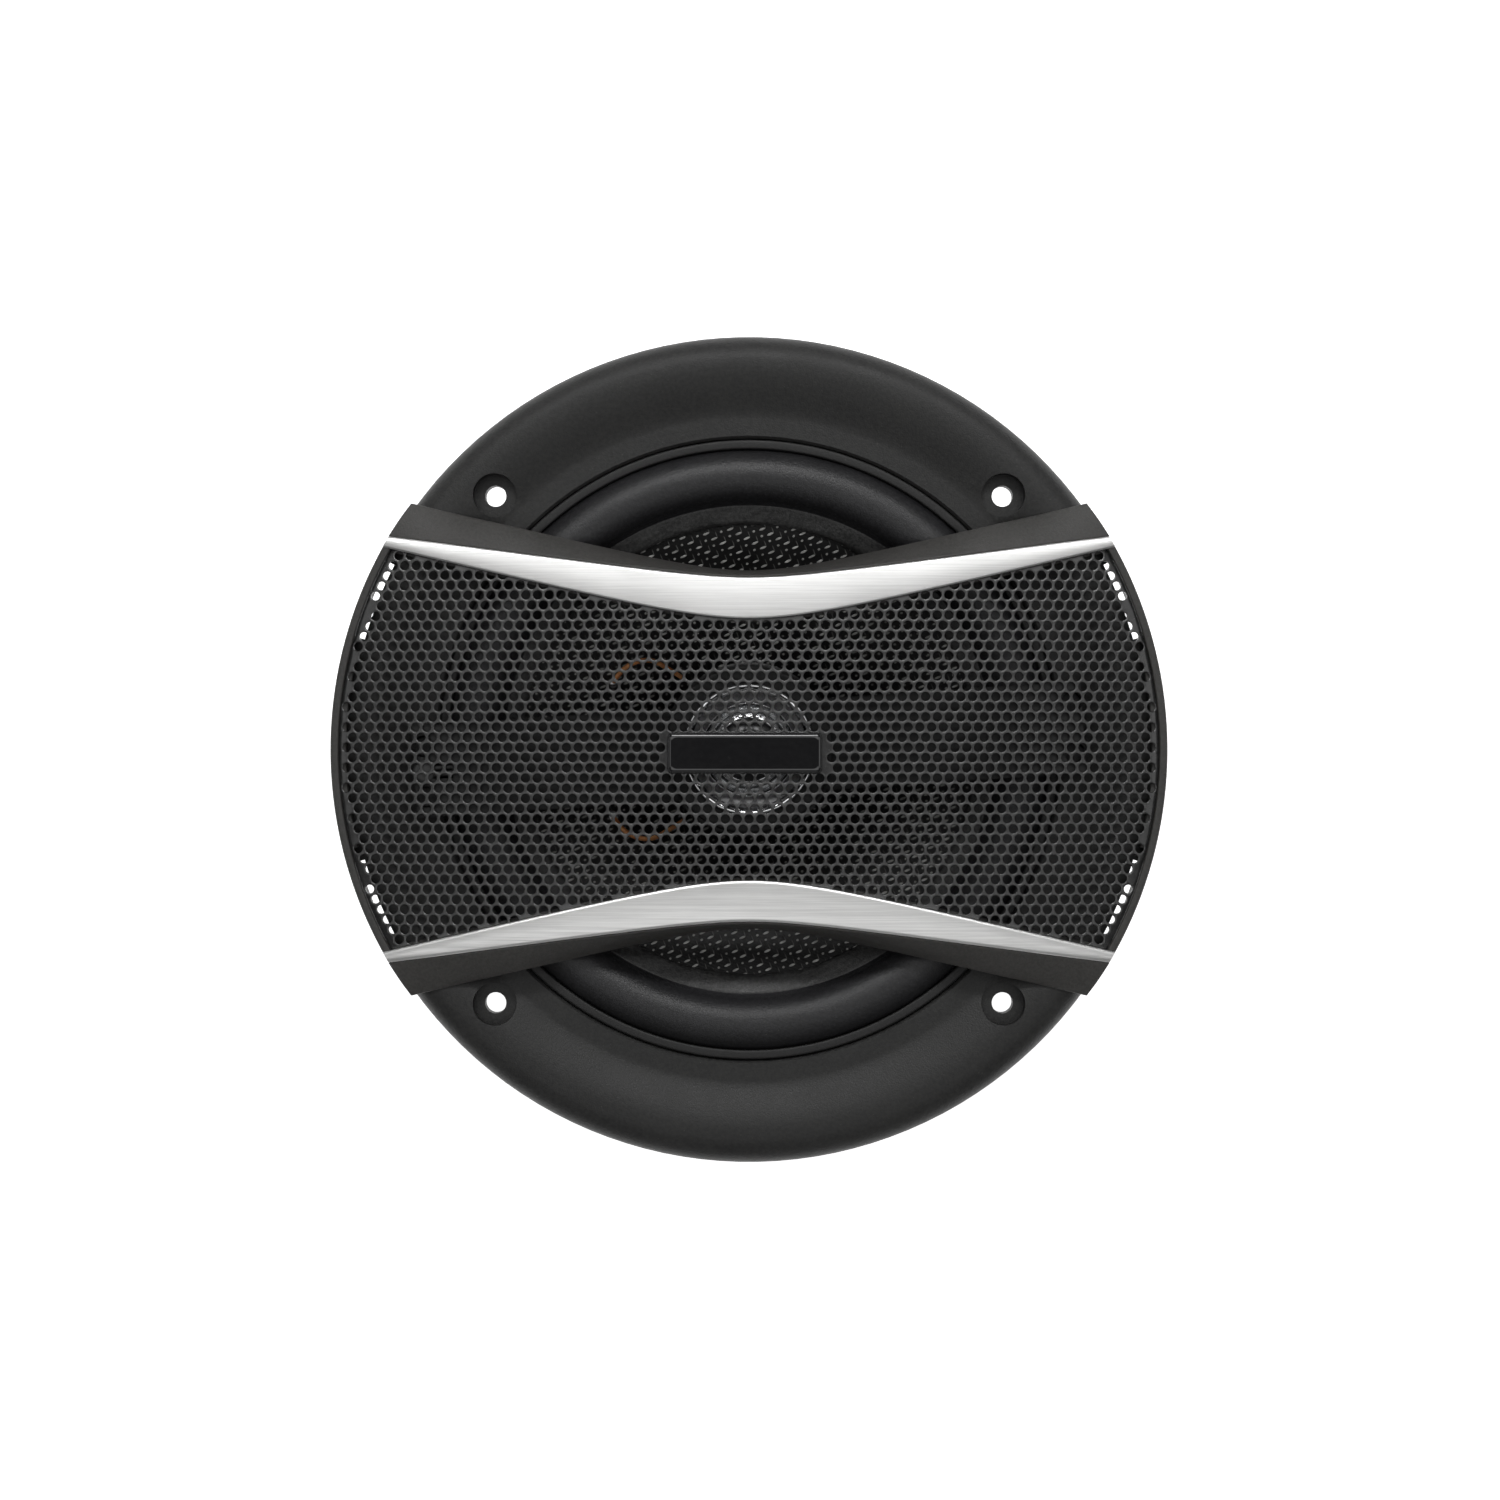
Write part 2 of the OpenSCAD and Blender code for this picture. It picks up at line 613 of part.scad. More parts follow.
module tweeter_bezel() {
    mid = (bezel_r[0] + bezel_r[1]) / 2;
    half = (bezel_r[1] - bezel_r[0]) / 2;
    color("#dcdde0") rotate_extrude() polygon(concat([[bezel_r[0], 9.82], [bezel_r[1], 9.82]],
        [for (a = steps(0, 180, 8)) [mid + half * cos(a), 13.7 + half * sin(a)]]));
}

module tweeter_faceplate() {
    color("#85878a") rotate_extrude() polygon([[clamp_r[1] + gap, 9.82], [bezel_r[0] - gap, 9.82],
        [bezel_r[0] - gap, 13], [bezel_r[0] - 0.5, 13.1], [clamp_r[1] + gap, 11.9]]);
}

module tweeter_clamp_ring() {
    color("#d8dadd") rotate_extrude() polygon([[clamp_r[0], 11.3], [clamp_r[0], 12], [clamp_r[0] + 0.15, 12.15],
        [clamp_r[1] - 0.1, 12.15], [clamp_r[1], 12], [clamp_r[1], 9.82], [clamp_r[0], 9.82], [clamp_r[0], 11.26]]);
}

module tweeter_surround() {
    mid = (dome_r + 0.35 + clamp_r[0] - gap) / 2;
    half = (clamp_r[0] - gap - dome_r - 0.35) / 2;
    function arc(rx, rz, a0, a1) = [for (a = steps(a0, a1, 8)) [mid + rx * cos(a), 11.5 + rz * sin(a)]];
    color("#9a9c9f") rotate_extrude() polygon(concat(arc(half, half, 0, 180),
        arc(half - 0.15, half - 0.15, 180, 0)));
}

module tweeter_dome() {
    base = 11.4;
    rings = steps(0, dome_r, 8);
    function dome(r) = base + 2.3 * (1 - pow(r / dome_r, 2));
    color("#c9ccd0") rotate_extrude() polygon(concat(
        [for (r = rings) [r, dome(r) + 0.25]], [[dome_r + 0.3, base + 0.2], [dome_r + 0.3, base]],
        [for (k = [8:-1:0]) [rings[k], dome(rings[k])]]));
}

module tweeter_coil() {
    color("#b4642d") tube(dome_r, dome_r - 0.3, 8.6, 11.4 - gap);
}

module tweeter_pole_plate() {
    color("#c4c6c8") translate([0, 0, 8.4]) cylinder(r = 6.2, h = 1.4);
}

module tweeter_magnet() {
    color("#8f9194") translate([0, 0, 5.4]) cylinder(r = 6, h = 3);
}

module tweeter_yoke() {
    color("#b4b6b9") rotate_extrude() polygon([[0, 4.2], [9, 4.2], [9, 8.8], [bezel_r[1] - 0.05, 8.8],
        [bezel_r[1] - 0.05, 9.8], [7.4, 9.8], [7.4, 5.4], [0, 5.4]]);
}

// Pair of wires: out of the housing, along the bridge's channel, down to the terminals
tweeter_lead_points = [[-12.4, 0, 7.9], [-14.6, 0, 8.8], [-18, 0, 10.3], [-30, 0, 10.3], [-45, 0, 10.3],
    [-60, 0, 10.2], [-63.4, 0, 9.4], [-64.2, 0, 6.5], [-64.2, 0, 2], [-63, 0, -1.2], [-60.2, 0, -4]];
module tweeter_leads() {
    color("#a33b32") tweeter_lead(1);
    color("#222326") tweeter_lead(-1);
}

module tweeter_lead(side) {
    end = [-57.5, side * tab_y, tab_z + 1.25];
    function turned(p) = [p.x * cos(bridge_turn) - p.y * sin(bridge_turn),
        p.x * sin(bridge_turn) + p.y * cos(bridge_turn), p.z];
    path = concat([for (p = tweeter_lead_points) turned(p + [0, 0.65 * side, 0])],
        [[-58.6, side * 5 - 2, -7.4], [-57.8, side * 7.4 - 0.6, -8.8], end]);
    wire(spline(path, 3), 0.5);
}

flange_ring();
grille_frame();
grille_mesh();
upper_trim();
lower_trim();
badge();
basket();
basket_screws();
surround_gasket();
surround();
cone();
dust_cap();
spider();
voice_coil_former();
voice_coil();
upper_coil_lead();
lower_coil_lead();
lead_eyelets();
upper_tinsel_lead();
lower_tinsel_lead();
top_plate();
magnet();
back_plate();
basket_rivets();
terminal_board();
positive_terminal();
negative_terminal();
terminal_rivets();
crossover_capacitor();
tweeter_bridge();
bridge_screws();
tweeter_housing();
tweeter_bezel();
tweeter_faceplate();
tweeter_clamp_ring();
tweeter_surround();
tweeter_dome();
tweeter_coil();
tweeter_pole_plate();
tweeter_magnet();
tweeter_yoke();
tweeter_leads();
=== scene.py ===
"""Coaxial car speaker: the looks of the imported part.

Arrays hold millimetres in the part's own frame and become metres when a mesh is made. Z points out of
the cone, X runs along the grille bar and Y across it; the flange's rear face is at Z = 0.
"""

import logging
import math
from collections.abc import Callable, Sequence
from dataclasses import dataclass
from enum import Enum

import bmesh
import bpy
import numpy as np
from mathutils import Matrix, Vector


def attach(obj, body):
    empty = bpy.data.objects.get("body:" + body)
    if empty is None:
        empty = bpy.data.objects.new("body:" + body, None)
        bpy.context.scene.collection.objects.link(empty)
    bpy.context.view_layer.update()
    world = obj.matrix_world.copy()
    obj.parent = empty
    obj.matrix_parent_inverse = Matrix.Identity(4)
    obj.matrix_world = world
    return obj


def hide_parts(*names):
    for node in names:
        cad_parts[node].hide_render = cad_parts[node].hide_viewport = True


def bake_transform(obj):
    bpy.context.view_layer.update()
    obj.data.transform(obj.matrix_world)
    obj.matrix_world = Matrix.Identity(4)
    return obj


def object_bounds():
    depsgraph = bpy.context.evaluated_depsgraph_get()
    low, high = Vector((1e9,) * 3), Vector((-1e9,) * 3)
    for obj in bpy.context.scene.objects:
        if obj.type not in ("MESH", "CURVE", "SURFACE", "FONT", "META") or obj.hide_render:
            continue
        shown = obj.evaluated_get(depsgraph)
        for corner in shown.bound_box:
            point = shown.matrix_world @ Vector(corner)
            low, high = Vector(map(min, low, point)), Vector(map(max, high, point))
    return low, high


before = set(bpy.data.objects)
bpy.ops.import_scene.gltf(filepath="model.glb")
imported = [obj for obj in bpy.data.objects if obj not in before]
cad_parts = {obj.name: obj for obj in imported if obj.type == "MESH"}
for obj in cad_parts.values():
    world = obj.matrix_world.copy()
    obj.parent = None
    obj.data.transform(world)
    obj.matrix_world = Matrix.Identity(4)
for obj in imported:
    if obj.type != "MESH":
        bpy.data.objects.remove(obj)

CAD_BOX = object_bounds()
LOG = logging.getLogger("speaker")
MM = 0.001
TURN = 2 * np.pi

STRAND_SQUEEZE = 1.05  # strands a little thicker than the circle allows press on each other
CHASSIS = "chassis"
CONE_BODY = "cone_assembly"
DOME_BODY = "tweeter_diaphragm"

Array = np.ndarray
Colour = tuple[float, float, float]


# --------------------------------------------------------------------------- shapes as arrays


def ease(t: Array) -> Array:
    """Soft step from 0 to 1: t squared times (3 - 2 t)."""
    t = np.clip(t, 0.0, 1.0)
    return t * t * (3.0 - 2.0 * t)


def unit(v: Array) -> Array:
    """Vectors divided by their own lengths, along the last axis."""
    return v / np.maximum(np.linalg.norm(v, axis=-1, keepdims=True), 1e-12)


def outline(corners: Sequence[tuple[float, float, float]], steps: int = 4) -> Array:
    """Closed outline whose corners are rounded.

    Args:
        corners: x, y and how far the rounding reaches along both sides, for each corner.
        steps: Spans in each rounding.

    Returns:
        Points in order, (corners times (steps + 1), 2).
    """
    given = np.array(corners, float)
    return soften(given[None, :, :2], given[:, 2], steps)[0]


def soften(rings: Array, reach: Array, steps: int = 4) -> Array:
    """Rounds the corners of closed rings.

    Between A and B, the points `reach` away from corner P along its two sides, the rounding is the
    parabola (1-t)^2 A + 2 t (1-t) P + t^2 B.

    Args:
        rings: Corner points, (rings, corners, 2 or 3).
        reach: Reach of the rounding at each corner.
        steps: Spans in each rounding.

    Returns:
        Rounded rings, (rings, corners times (steps + 1), 2 or 3).
    """
    back, ahead = np.roll(rings, 1, axis=1) - rings, np.roll(rings, -1, axis=1) - rings
    room = 0.49 * np.minimum(np.linalg.norm(back, axis=-1), np.linalg.norm(ahead, axis=-1))
    cut = np.minimum(np.asarray(reach)[None, :], room)[..., None]
    a, b = rings + unit(back) * cut, rings + unit(ahead) * cut
    t = np.linspace(0.0, 1.0, steps + 1)[None, None, :, None]
    curve = (1 - t) ** 2 * a[:, :, None] + 2 * t * (1 - t) * rings[:, :, None] + t**2 * b[:, :, None]
    return curve.reshape(len(rings), -1, rings.shape[-1])


def spline(points: Sequence[Sequence[float]], steps: int) -> Array:
    """Smooth curve through given points (Catmull-Rom), with `steps` spans between each two."""
    given = np.array(points, float)
    p = np.pad(given, ((1, 1), (0, 0)), mode="edge")
    a, b, c, d = (p[k: len(p) - 3 + k, None] for k in range(4))
    t = np.linspace(0.0, 1.0, steps, endpoint=False)[None, :, None]
    curve = 0.5 * (2 * b + t * (c - a) + t**2 * (2 * a - 5 * b + 4 * c - d) + t**3 * (3 * b - a - 3 * c + d))
    return np.vstack([curve.reshape(-1, given.shape[1]), given[-1:]])


def turned(points: Array, degrees: float) -> Array:
    """Points turned about the Z axis."""
    c, s = math.cos(math.radians(degrees)), math.sin(math.radians(degrees))
    return np.stack([points[..., 0] * c - points[..., 1] * s,
                     points[..., 0] * s + points[..., 1] * c, points[..., 2]], -1)


def grid_faces(rows: int, cols: int, wrap_rows: bool, wrap_cols: bool) -> Array:
    """Quads of a rows by cols grid of points, its last row or column joined to the first if it wraps."""
    r = np.arange(rows if wrap_rows else rows - 1)[:, None]
    c = np.arange(cols if wrap_cols else cols - 1)[None, :]
    r2, c2 = (r + 1) % rows, (c + 1) % cols
    return np.stack([r * cols + c, r * cols + c2, r2 * cols + c2, r2 * cols + c], -1).reshape(-1, 4)


class Skin:
    """Points and faces of one piece, gathered surface by surface, with two marks per point."""

    def __init__(self) -> None:
        """Starts an empty skin."""
        self.points: list[Array] = []
        self.faces: list[Array] = []
        self.marks: list[Array] = []
        self.count = 0

    def add(self, points: Array, faces: Sequence[Array], marks: Array | None = None) -> "Skin":
        """Adds points and the faces between them.

        Args:
            points: Points in millimetres, the last axis of length 3.
            faces: Arrays of point numbers, one array per number of corners.
            marks: Two numbers per point that a pattern follows, such as way round and way along.

        Returns:
            The skin itself.
        """
        flat = points.reshape(-1, 3)
        self.points.append(flat)
        self.faces += [f + self.count for f in faces]
        self.marks.append(np.zeros((len(flat), 2)) if marks is None else marks.reshape(-1, 2))
        self.count += len(flat)
        return self

    def grid(self, points: Array, wrap_rows: bool = False, wrap_cols: bool = False,
             caps: bool = False, marks: Array | None = None) -> "Skin":
        """Adds a grid of points (rows, cols, 3) as quads, its first and last rows filled if `caps`."""
        rows, cols = points.shape[:2]
        faces = [grid_faces(rows, cols, wrap_rows, wrap_cols)]
        if caps:
            faces += [np.arange(cols)[None, ::-1], (rows - 1) * cols + np.arange(cols)[None]]
        return self.add(points, faces, marks)

    def revolve(self, profile: Array, segments: int = 192, arc: tuple[float, float] | None = None) -> "Skin":
        """Turns a closed outline of (radius, height) about Z, all round or between two angles in degrees.

        Args:
            profile: Points (radius, height).
            segments: Spans round the turn.
            arc: First and last angle in degrees, or None for the whole turn.

        Returns:
            The skin itself.
        """
        a = (np.linspace(0, TURN, segments, endpoint=False) if arc is None
             else np.radians(np.linspace(*arc, segments + 1)))[:, None]
        r, z = profile[None, :, 0], profile[None, :, 1]
        points = np.stack([r * np.cos(a), r * np.sin(a), z + 0 * a], -1)
        return self.grid(points, wrap_rows=arc is None, wrap_cols=True, caps=arc is not None)

    def tube(self, path: Array, radius: float | Array, sides: int = 8,
             across: tuple[float, float, float] = (0, 0, 1)) -> "Skin":
        """Round tube along a path: each ring is path + radius (cos a side + sin a up).

        Args:
            path: Points of the centre line, (n, 3).
            radius: One radius, or one for each point.
            sides: Corners of each ring.
            across: A direction the path never runs along.

        Returns:
            The skin itself.
        """
        side, up = path_axes(path, across)
        a = (np.arange(sides) * TURN / sides)[None, :, None]
        width = np.broadcast_to(np.asarray(radius, float), (len(path),))[:, None, None]
        rings = path[:, None] + width * (np.cos(a) * side[:, None] + np.sin(a) * up[:, None])
        way = np.concatenate([[0], np.cumsum(np.linalg.norm(np.diff(path, axis=0), axis=1))])
        marks = np.stack(np.broadcast_arrays(np.sin(a[..., 0]), way[:, None]), -1)
        return self.grid(rings, wrap_cols=True, caps=True, marks=marks)

    def rope(self, path: Array, radius: float, strands: int, lay: float,
             across: tuple[float, float, float] = (0, 0, 1), sides: int = 6) -> "Skin":
        """Strands twisted round a path, each on a helix that turns once in `lay` millimetres.

        Args:
            path: Centre line of the rope.
            radius: Outer radius of the rope.
            strands: Number of strands.
            lay: Length of one turn; a negative lay turns the other way.
            across: A direction the path never runs along.
            sides: Corners of each strand's ring.

        Returns:
            The skin itself.
        """
        side, up = path_axes(path, across)
        thin = radius / (1 + 1 / math.sin(math.pi / strands)) if strands > 1 else radius
        way = np.concatenate([[0], np.cumsum(np.linalg.norm(np.diff(path, axis=0), axis=1))])[:, None]
        for k in range(strands):
            a = TURN * (way / lay + k / strands)
            helix = path + (radius - thin) * (np.cos(a) * side + np.sin(a) * up)
            self.tube(helix, thin * STRAND_SQUEEZE, sides, across)
        return self

    def move(self, by: Sequence[float], scale: Sequence[float] = (1, 1, 1)) -> "Skin":
        """Scales the first surface about the origin and moves it."""
        self.points[0] = self.points[0] * np.array(scale) + np.array(by)
        return self


def path_axes(path: Array, across: tuple[float, float, float]) -> tuple[Array, Array]:
    """Two directions square to a path at each point: its tangent crossed with `across`, and the rest."""
    along = unit(np.gradient(path, axis=0))
    side = unit(np.cross(along, np.array(across, float)))
    return side, np.cross(side, along)


# --------------------------------------------------------------------------- node formulas


class Value:
    """A number that a node tree works out, so that a pattern's formula reads as a formula."""

    def __init__(self, tree: bpy.types.NodeTree, socket: bpy.types.NodeSocket) -> None:
        """Wraps an output socket."""
        self.tree, self.socket = tree, socket

    def math(self, operation: str, *others: "Value | float") -> "Value":
        """Result of a Math node on this value and others."""
        node = self.tree.nodes.new("ShaderNodeMath")
        node.operation = operation
        for socket, item in zip(node.inputs, (self, *others)):
            feed(self.tree, item, socket)
        return Value(self.tree, node.outputs[0])

    def __add__(self, other: "Value | float") -> "Value":
        """Sum."""
        return self.math("ADD", other)

    def __sub__(self, other: "Value | float") -> "Value":
        """Difference."""
        return self.math("SUBTRACT", other)

    def __mul__(self, other: "Value | float") -> "Value":
        """Product."""
        return self.math("MULTIPLY", other)

    def __truediv__(self, other: "Value | float") -> "Value":
        """Quotient."""
        return self.math("DIVIDE", other)

    def less_from(self, start: float) -> "Value":
        """A fixed number minus this value."""
        return (self * -1.0) + start

    def off_whole(self) -> "Value":
        """Signed distance to the nearest whole number."""
        return self - self.math("ROUND")

    def step(self, low: float, high: float, to: tuple[float, float] = (0.0, 1.0)) -> "Value":
        """Smooth step between two limits, onto the range `to`."""
        node = self.tree.nodes.new("ShaderNodeMapRange")
        node.interpolation_type = "SMOOTHSTEP"
        feed(self.tree, self, node.inputs["Value"])
        for name, number in (("From Min", low), ("From Max", high), ("To Min", to[0]), ("To Max", to[1])):
            node.inputs[name].default_value = number
        return Value(self.tree, node.outputs[0])


def feed(tree: bpy.types.NodeTree, item: "Value | float | Sequence[float] | bpy.types.NodeSocket",
         socket: bpy.types.NodeSocket) -> None:
    """Links a value or an output into a socket, or sets the socket to a plain number or colour."""
    if isinstance(item, Value):
        tree.links.new(item.socket, socket)
    elif isinstance(item, bpy.types.NodeSocket):
        tree.links.new(item, socket)
    else:
        socket.default_value = item


class Sketch:
    """Short ways to add nodes to one tree."""

    def __init__(self, tree: bpy.types.NodeTree) -> None:
        """Wraps a node tree."""
        self.tree = tree

    def add(self, kind: str, **settings: object) -> bpy.types.Node:
        """New node with its settings."""
        node = self.tree.nodes.new(kind)
        for name, setting in settings.items():
            setattr(node, name, setting)
        return node

    def place(self) -> bpy.types.NodeSocket:
        """Object coordinates in millimetres."""
        node = self.add("ShaderNodeVectorMath", operation="SCALE")
        node.inputs["Scale"].default_value = 1.0 / MM
        self.tree.links.new(self.add("ShaderNodeTexCoord").outputs["Object"], node.inputs[0])
        return node.outputs[0]

    def own(self, name: str) -> bpy.types.NodeSocket:
        """The piece's own attribute as a vector."""
        return self.add("ShaderNodeAttribute", attribute_name=name).outputs["Vector"]

    def split(self, vector: bpy.types.NodeSocket) -> tuple[Value, Value, Value]:
        """The three parts of a vector."""
        node = self.add("ShaderNodeSeparateXYZ")
        self.tree.links.new(vector, node.inputs[0])
        return tuple(Value(self.tree, out) for out in node.outputs)

    def join(self, *parts: Value | float) -> bpy.types.NodeSocket:
        """Vector made of three parts."""
        node = self.add("ShaderNodeCombineXYZ")
        for part, socket in zip(parts, node.inputs):
            feed(self.tree, part, socket)
        return node.outputs[0]

    def noise(self, vector: bpy.types.NodeSocket, scale: Value | float, detail: float = 3.0,
              rough: float = 0.5) -> Value:
        """Noise of `scale` cells per millimetre, about 0.5."""
        node = self.add("ShaderNodeTexNoise")
        feed(self.tree, vector, node.inputs["Vector"])
        feed(self.tree, scale, node.inputs["Scale"])
        node.inputs["Detail"].default_value, node.inputs["Roughness"].default_value = detail, rough
        return Value(self.tree, node.outputs[0])

    def cells(self, vector: bpy.types.NodeSocket, scale: Value | float) -> Value:
        """Distance to the nearest of scattered points, `scale` of them per millimetre."""
        node = self.add("ShaderNodeTexVoronoi", feature="F1")
        feed(self.tree, vector, node.inputs["Vector"])
        feed(self.tree, scale, node.inputs["Scale"])
        return Value(self.tree, node.outputs["Distance"])

    def mix(self, factor: Value, a: object, b: object) -> bpy.types.NodeSocket:
        """Colour between `a` and `b`."""
        node = self.add("ShaderNodeMix", data_type="RGBA")
        feed(self.tree, factor, node.inputs[0])
        for item, socket in ((a, node.inputs[6]), (b, node.inputs[7])):
            feed(self.tree, (*item, 1.0) if isinstance(item, tuple) else item, socket)
        return node.outputs[2]

    def effect(self, group: bpy.types.NodeTree, vector: bpy.types.NodeSocket,
               **numbers: float) -> dict[str, Value]:
        """Places a shared effect and gives its outputs by name."""
        node = self.add("ShaderNodeGroup", node_tree=group)
        self.tree.links.new(vector, node.inputs["Place"])
        for name, number in numbers.items():
            node.inputs[name].default_value = number
        return {out.name: Value(self.tree, out) for out in node.outputs}


# --------------------------------------------------------------------------- shared effects


def effect_group(name: str, inputs: Sequence[str], outputs: Sequence[str],
                 draw: Callable[[Sketch, dict[str, object]], dict[str, Value]]) -> bpy.types.NodeTree:
    """Builds a shader node group once.

    Args:
        name: The group's name.
        inputs: Names of its number inputs, besides the vector "Place".
        outputs: Names of its outputs, all numbers.
        draw: Works out the outputs from the inputs.

    Returns:
        The node group.
    """
    tree = bpy.data.node_groups.new(name, "ShaderNodeTree")
    tree.interface.new_socket(name="Place", in_out="INPUT", socket_type="NodeSocketVector")
    for item in inputs:
        tree.interface.new_socket(name=item, in_out="INPUT", socket_type="NodeSocketFloat")
    for item in outputs:
        tree.interface.new_socket(name=item, in_out="OUTPUT", socket_type="NodeSocketFloat")
    sketch = Sketch(tree)
    given = sketch.add("NodeGroupInput")
    made = draw(sketch, {"Place": given.outputs["Place"],
                         **{item: Value(tree, given.outputs[item]) for item in inputs}})
    ends = sketch.add("NodeGroupOutput")
    for item, value in made.items():
        feed(tree, value, ends.inputs[item])
    return tree


def draw_grain(s: Sketch, i: dict[str, object]) -> dict[str, Value]:
    """Moulded grain: small rounded pits over softer waves; `Size` is the pitch of the pits."""
    fine = i["Size"].math("POWER", -1.0)
    pits = s.cells(i["Place"], fine)
    waves = s.noise(i["Place"], fine * 0.45, 3.0, 0.6)
    return {"Height": pits * 0.5 + waves * 0.8, "Shade": waves.step(0.3, 0.7)}


def draw_blotch(s: Sketch, i: dict[str, object]) -> dict[str, Value]:
    """Slow uneven patches: noise of `Size` millimetres, bent by a second noise."""
    slow = i["Size"].math("POWER", -1.0)
    broad = s.noise(i["Place"], slow, 4.0, 0.55)
    return {"Amount": (broad + s.noise(i["Place"], slow * 3.1, 2.0, 0.5) * 0.35).step(0.45, 0.9)}


def draw_specks(s: Sketch, i: dict[str, object]) -> dict[str, Value]:
    """Settled dust: small dots round scattered points, kept only where a slower noise is high."""
    dots = s.cells(i["Place"], i["Size"].math("POWER", -1.0)).step(0.16, 0.05)
    return {"Mask": dots * s.noise(i["Place"], 0.35, 2.0, 0.6).step(0.52, 0.7)}


def draw_brushed(s: Sketch, i: dict[str, object]) -> dict[str, Value]:
    """Brushed metal: noise stretched along X by `Stretch` and along Z, at two widths."""
    x, y, z = s.split(i["Place"])
    flat = s.join(x / i["Stretch"], y, z * 0.08)
    wide, thin = s.noise(flat, 2.6, 4.0, 0.65), s.noise(flat, 11.0, 3.0, 0.7)
    return {"Height": thin * 0.6 + wide * 0.4, "Streak": (wide * 0.6 + thin * 0.4).step(0.36, 0.64)}


def draw_turned(s: Sketch, i: dict[str, object]) -> dict[str, Value]:
    """Lathe marks: noise along the radius sqrt(x^2 + y^2) and the height alone."""
    x, y, z = s.split(i["Place"])
    radius = (x * x + y * y).math("SQRT")
    rings = s.noise(s.join(radius, 0.0, z), i["Size"].math("POWER", -1.0), 4.0, 0.7)
    return {"Height": rings, "Streak": rings.step(0.35, 0.65)}


def draw_cloth(s: Sketch, i: dict[str, object]) -> dict[str, Value]:
    """Plain weave: threads along x and y go over and under by sin(pi x / pitch) sin(pi y / pitch)."""
    x, y, _ = s.split(i["Place"])
    soft = (s.noise(i["Place"], 0.8, 2.0, 0.5) - 0.5) * i["Pitch"]
    a = ((x + soft) / i["Pitch"]) * math.pi
    b = ((y + soft) / i["Pitch"]) * math.pi
    warp, weft = a.math("SINE").math("ABSOLUTE"), b.math("SINE").math("ABSOLUTE")
    over = a.math("SINE") * b.math("SINE")
    turn = over.step(-0.15, 0.15)
    height = warp * turn + weft * turn.less_from(1.0)
    return {"Height": height, "Gap": (warp * weft).step(0.25, 0.0), "Over": turn}


# The cone's yarns repeat on this slanted lattice, in millimetres
CELL_A = (1.66, -0.90)
CELL_B = (3.14, 1.81)
DASH_TURN = math.radians(22.0)
GROUND_PITCH = 0.42


def draw_cone_weave(s: Sketch, i: dict[str, object]) -> dict[str, Value]:
    """Yarn floats on a dark ground; their glint off the glossy black yarn is a painted highlight in the base
    colour.

    The nearest lattice point p = m A + n B comes from rounding the place's lattice numbers, and each
    mark is an ellipse about that point, turned along the float or across it.
    """
    place_x, place_y, _ = s.split(i["Place"])
    wander = (s.noise(i["Place"], 0.12, 2.0, 0.5) - 0.5) * 0.5
    det = CELL_A[0] * CELL_B[1] - CELL_A[1] * CELL_B[0]
    cos, sin = math.cos(DASH_TURN), math.sin(DASH_TURN)
    ahead, beside = place_x * cos + place_y * sin, place_y * cos - place_x * sin

    def mark(at: tuple[float, float], along: float, across: float, edge: float) -> Value:
        """Mask of an ellipse with half axes `along` and `across`, centred at `at` in each cell."""
        x, y = place_x + wander - at[0], place_y + wander - at[1]
        m = ((x * CELL_B[1] - y * CELL_B[0]) / det).off_whole()
        n = ((y * CELL_A[0] - x * CELL_A[1]) / det).off_whole()
        dx, dy = m * CELL_A[0] + n * CELL_B[0], m * CELL_A[1] + n * CELL_B[1]
        u, v = (dx * cos + dy * sin) / along, (dy * cos - dx * sin) / across
        return (u * u + v * v).step(1.0 + edge, 1.0 - edge)

    floats = mark((0.0, 0.0), 0.66, 0.22, 0.35)
    dots = mark((1.40, 1.35), 0.26, 0.22, 0.35)
    ties = mark((0.45, 0.80), 0.09, 0.62, 0.5)
    fibre = s.noise(s.join(ahead, beside * 5.0, 0.0), 3.2, 2.0, 0.6)
    # fine under-weave between the floats, along them and across
    wave = math.pi / GROUND_PITCH
    ground = (ahead * wave).math("SINE") * (beside * wave).math("SINE")
    # painted highlight: how strongly the glossy yarn glints, patch by patch
    painted_glint_strength = s.noise(i["Place"], 0.5, 2.0, 0.6).step(0.25, 0.75, (0.45, 1.0))
    highest = floats.math("MAXIMUM", dots * 0.7).math("MAXIMUM", ties * 0.35)
    # Float, Dot and Tie carry the painted highlight of the yarn marks; Height is their real shape
    return {"Height": highest + fibre * 0.12 + ground * 0.10, "Float": floats * painted_glint_strength, "Dot": dots * painted_glint_strength,
            "Tie": ties}


class Effects:
    """The shared node groups, built once."""

    def __init__(self) -> None:
        """Builds every group."""
        self.grain = effect_group("Moulded grain", ["Size"], ["Height", "Shade"], draw_grain)
        self.blotch = effect_group("Uneven patches", ["Size"], ["Amount"], draw_blotch)
        self.specks = effect_group("Settled dust", ["Size"], ["Mask"], draw_specks)
        self.brushed = effect_group("Brushed metal", ["Stretch"], ["Height", "Streak"], draw_brushed)
        self.turned = effect_group("Lathe marks", ["Size"], ["Height", "Streak"], draw_turned)
        self.cloth = effect_group("Plain weave", ["Pitch"], ["Height", "Gap", "Over"], draw_cloth)
        self.cone_weave = effect_group("Cone weave", [], ["Height", "Float", "Dot", "Tie"], draw_cone_weave)


EFFECTS = Effects()


# --------------------------------------------------------------------------- finishes


BRUSH_STRETCH = 110.0
DUST_COLOUR = (0.42, 0.41, 0.39)
DUST_PITCH = 0.9
WORN_EDGE = (0.515, 0.6)  # from this pointiness on, an edge is worn


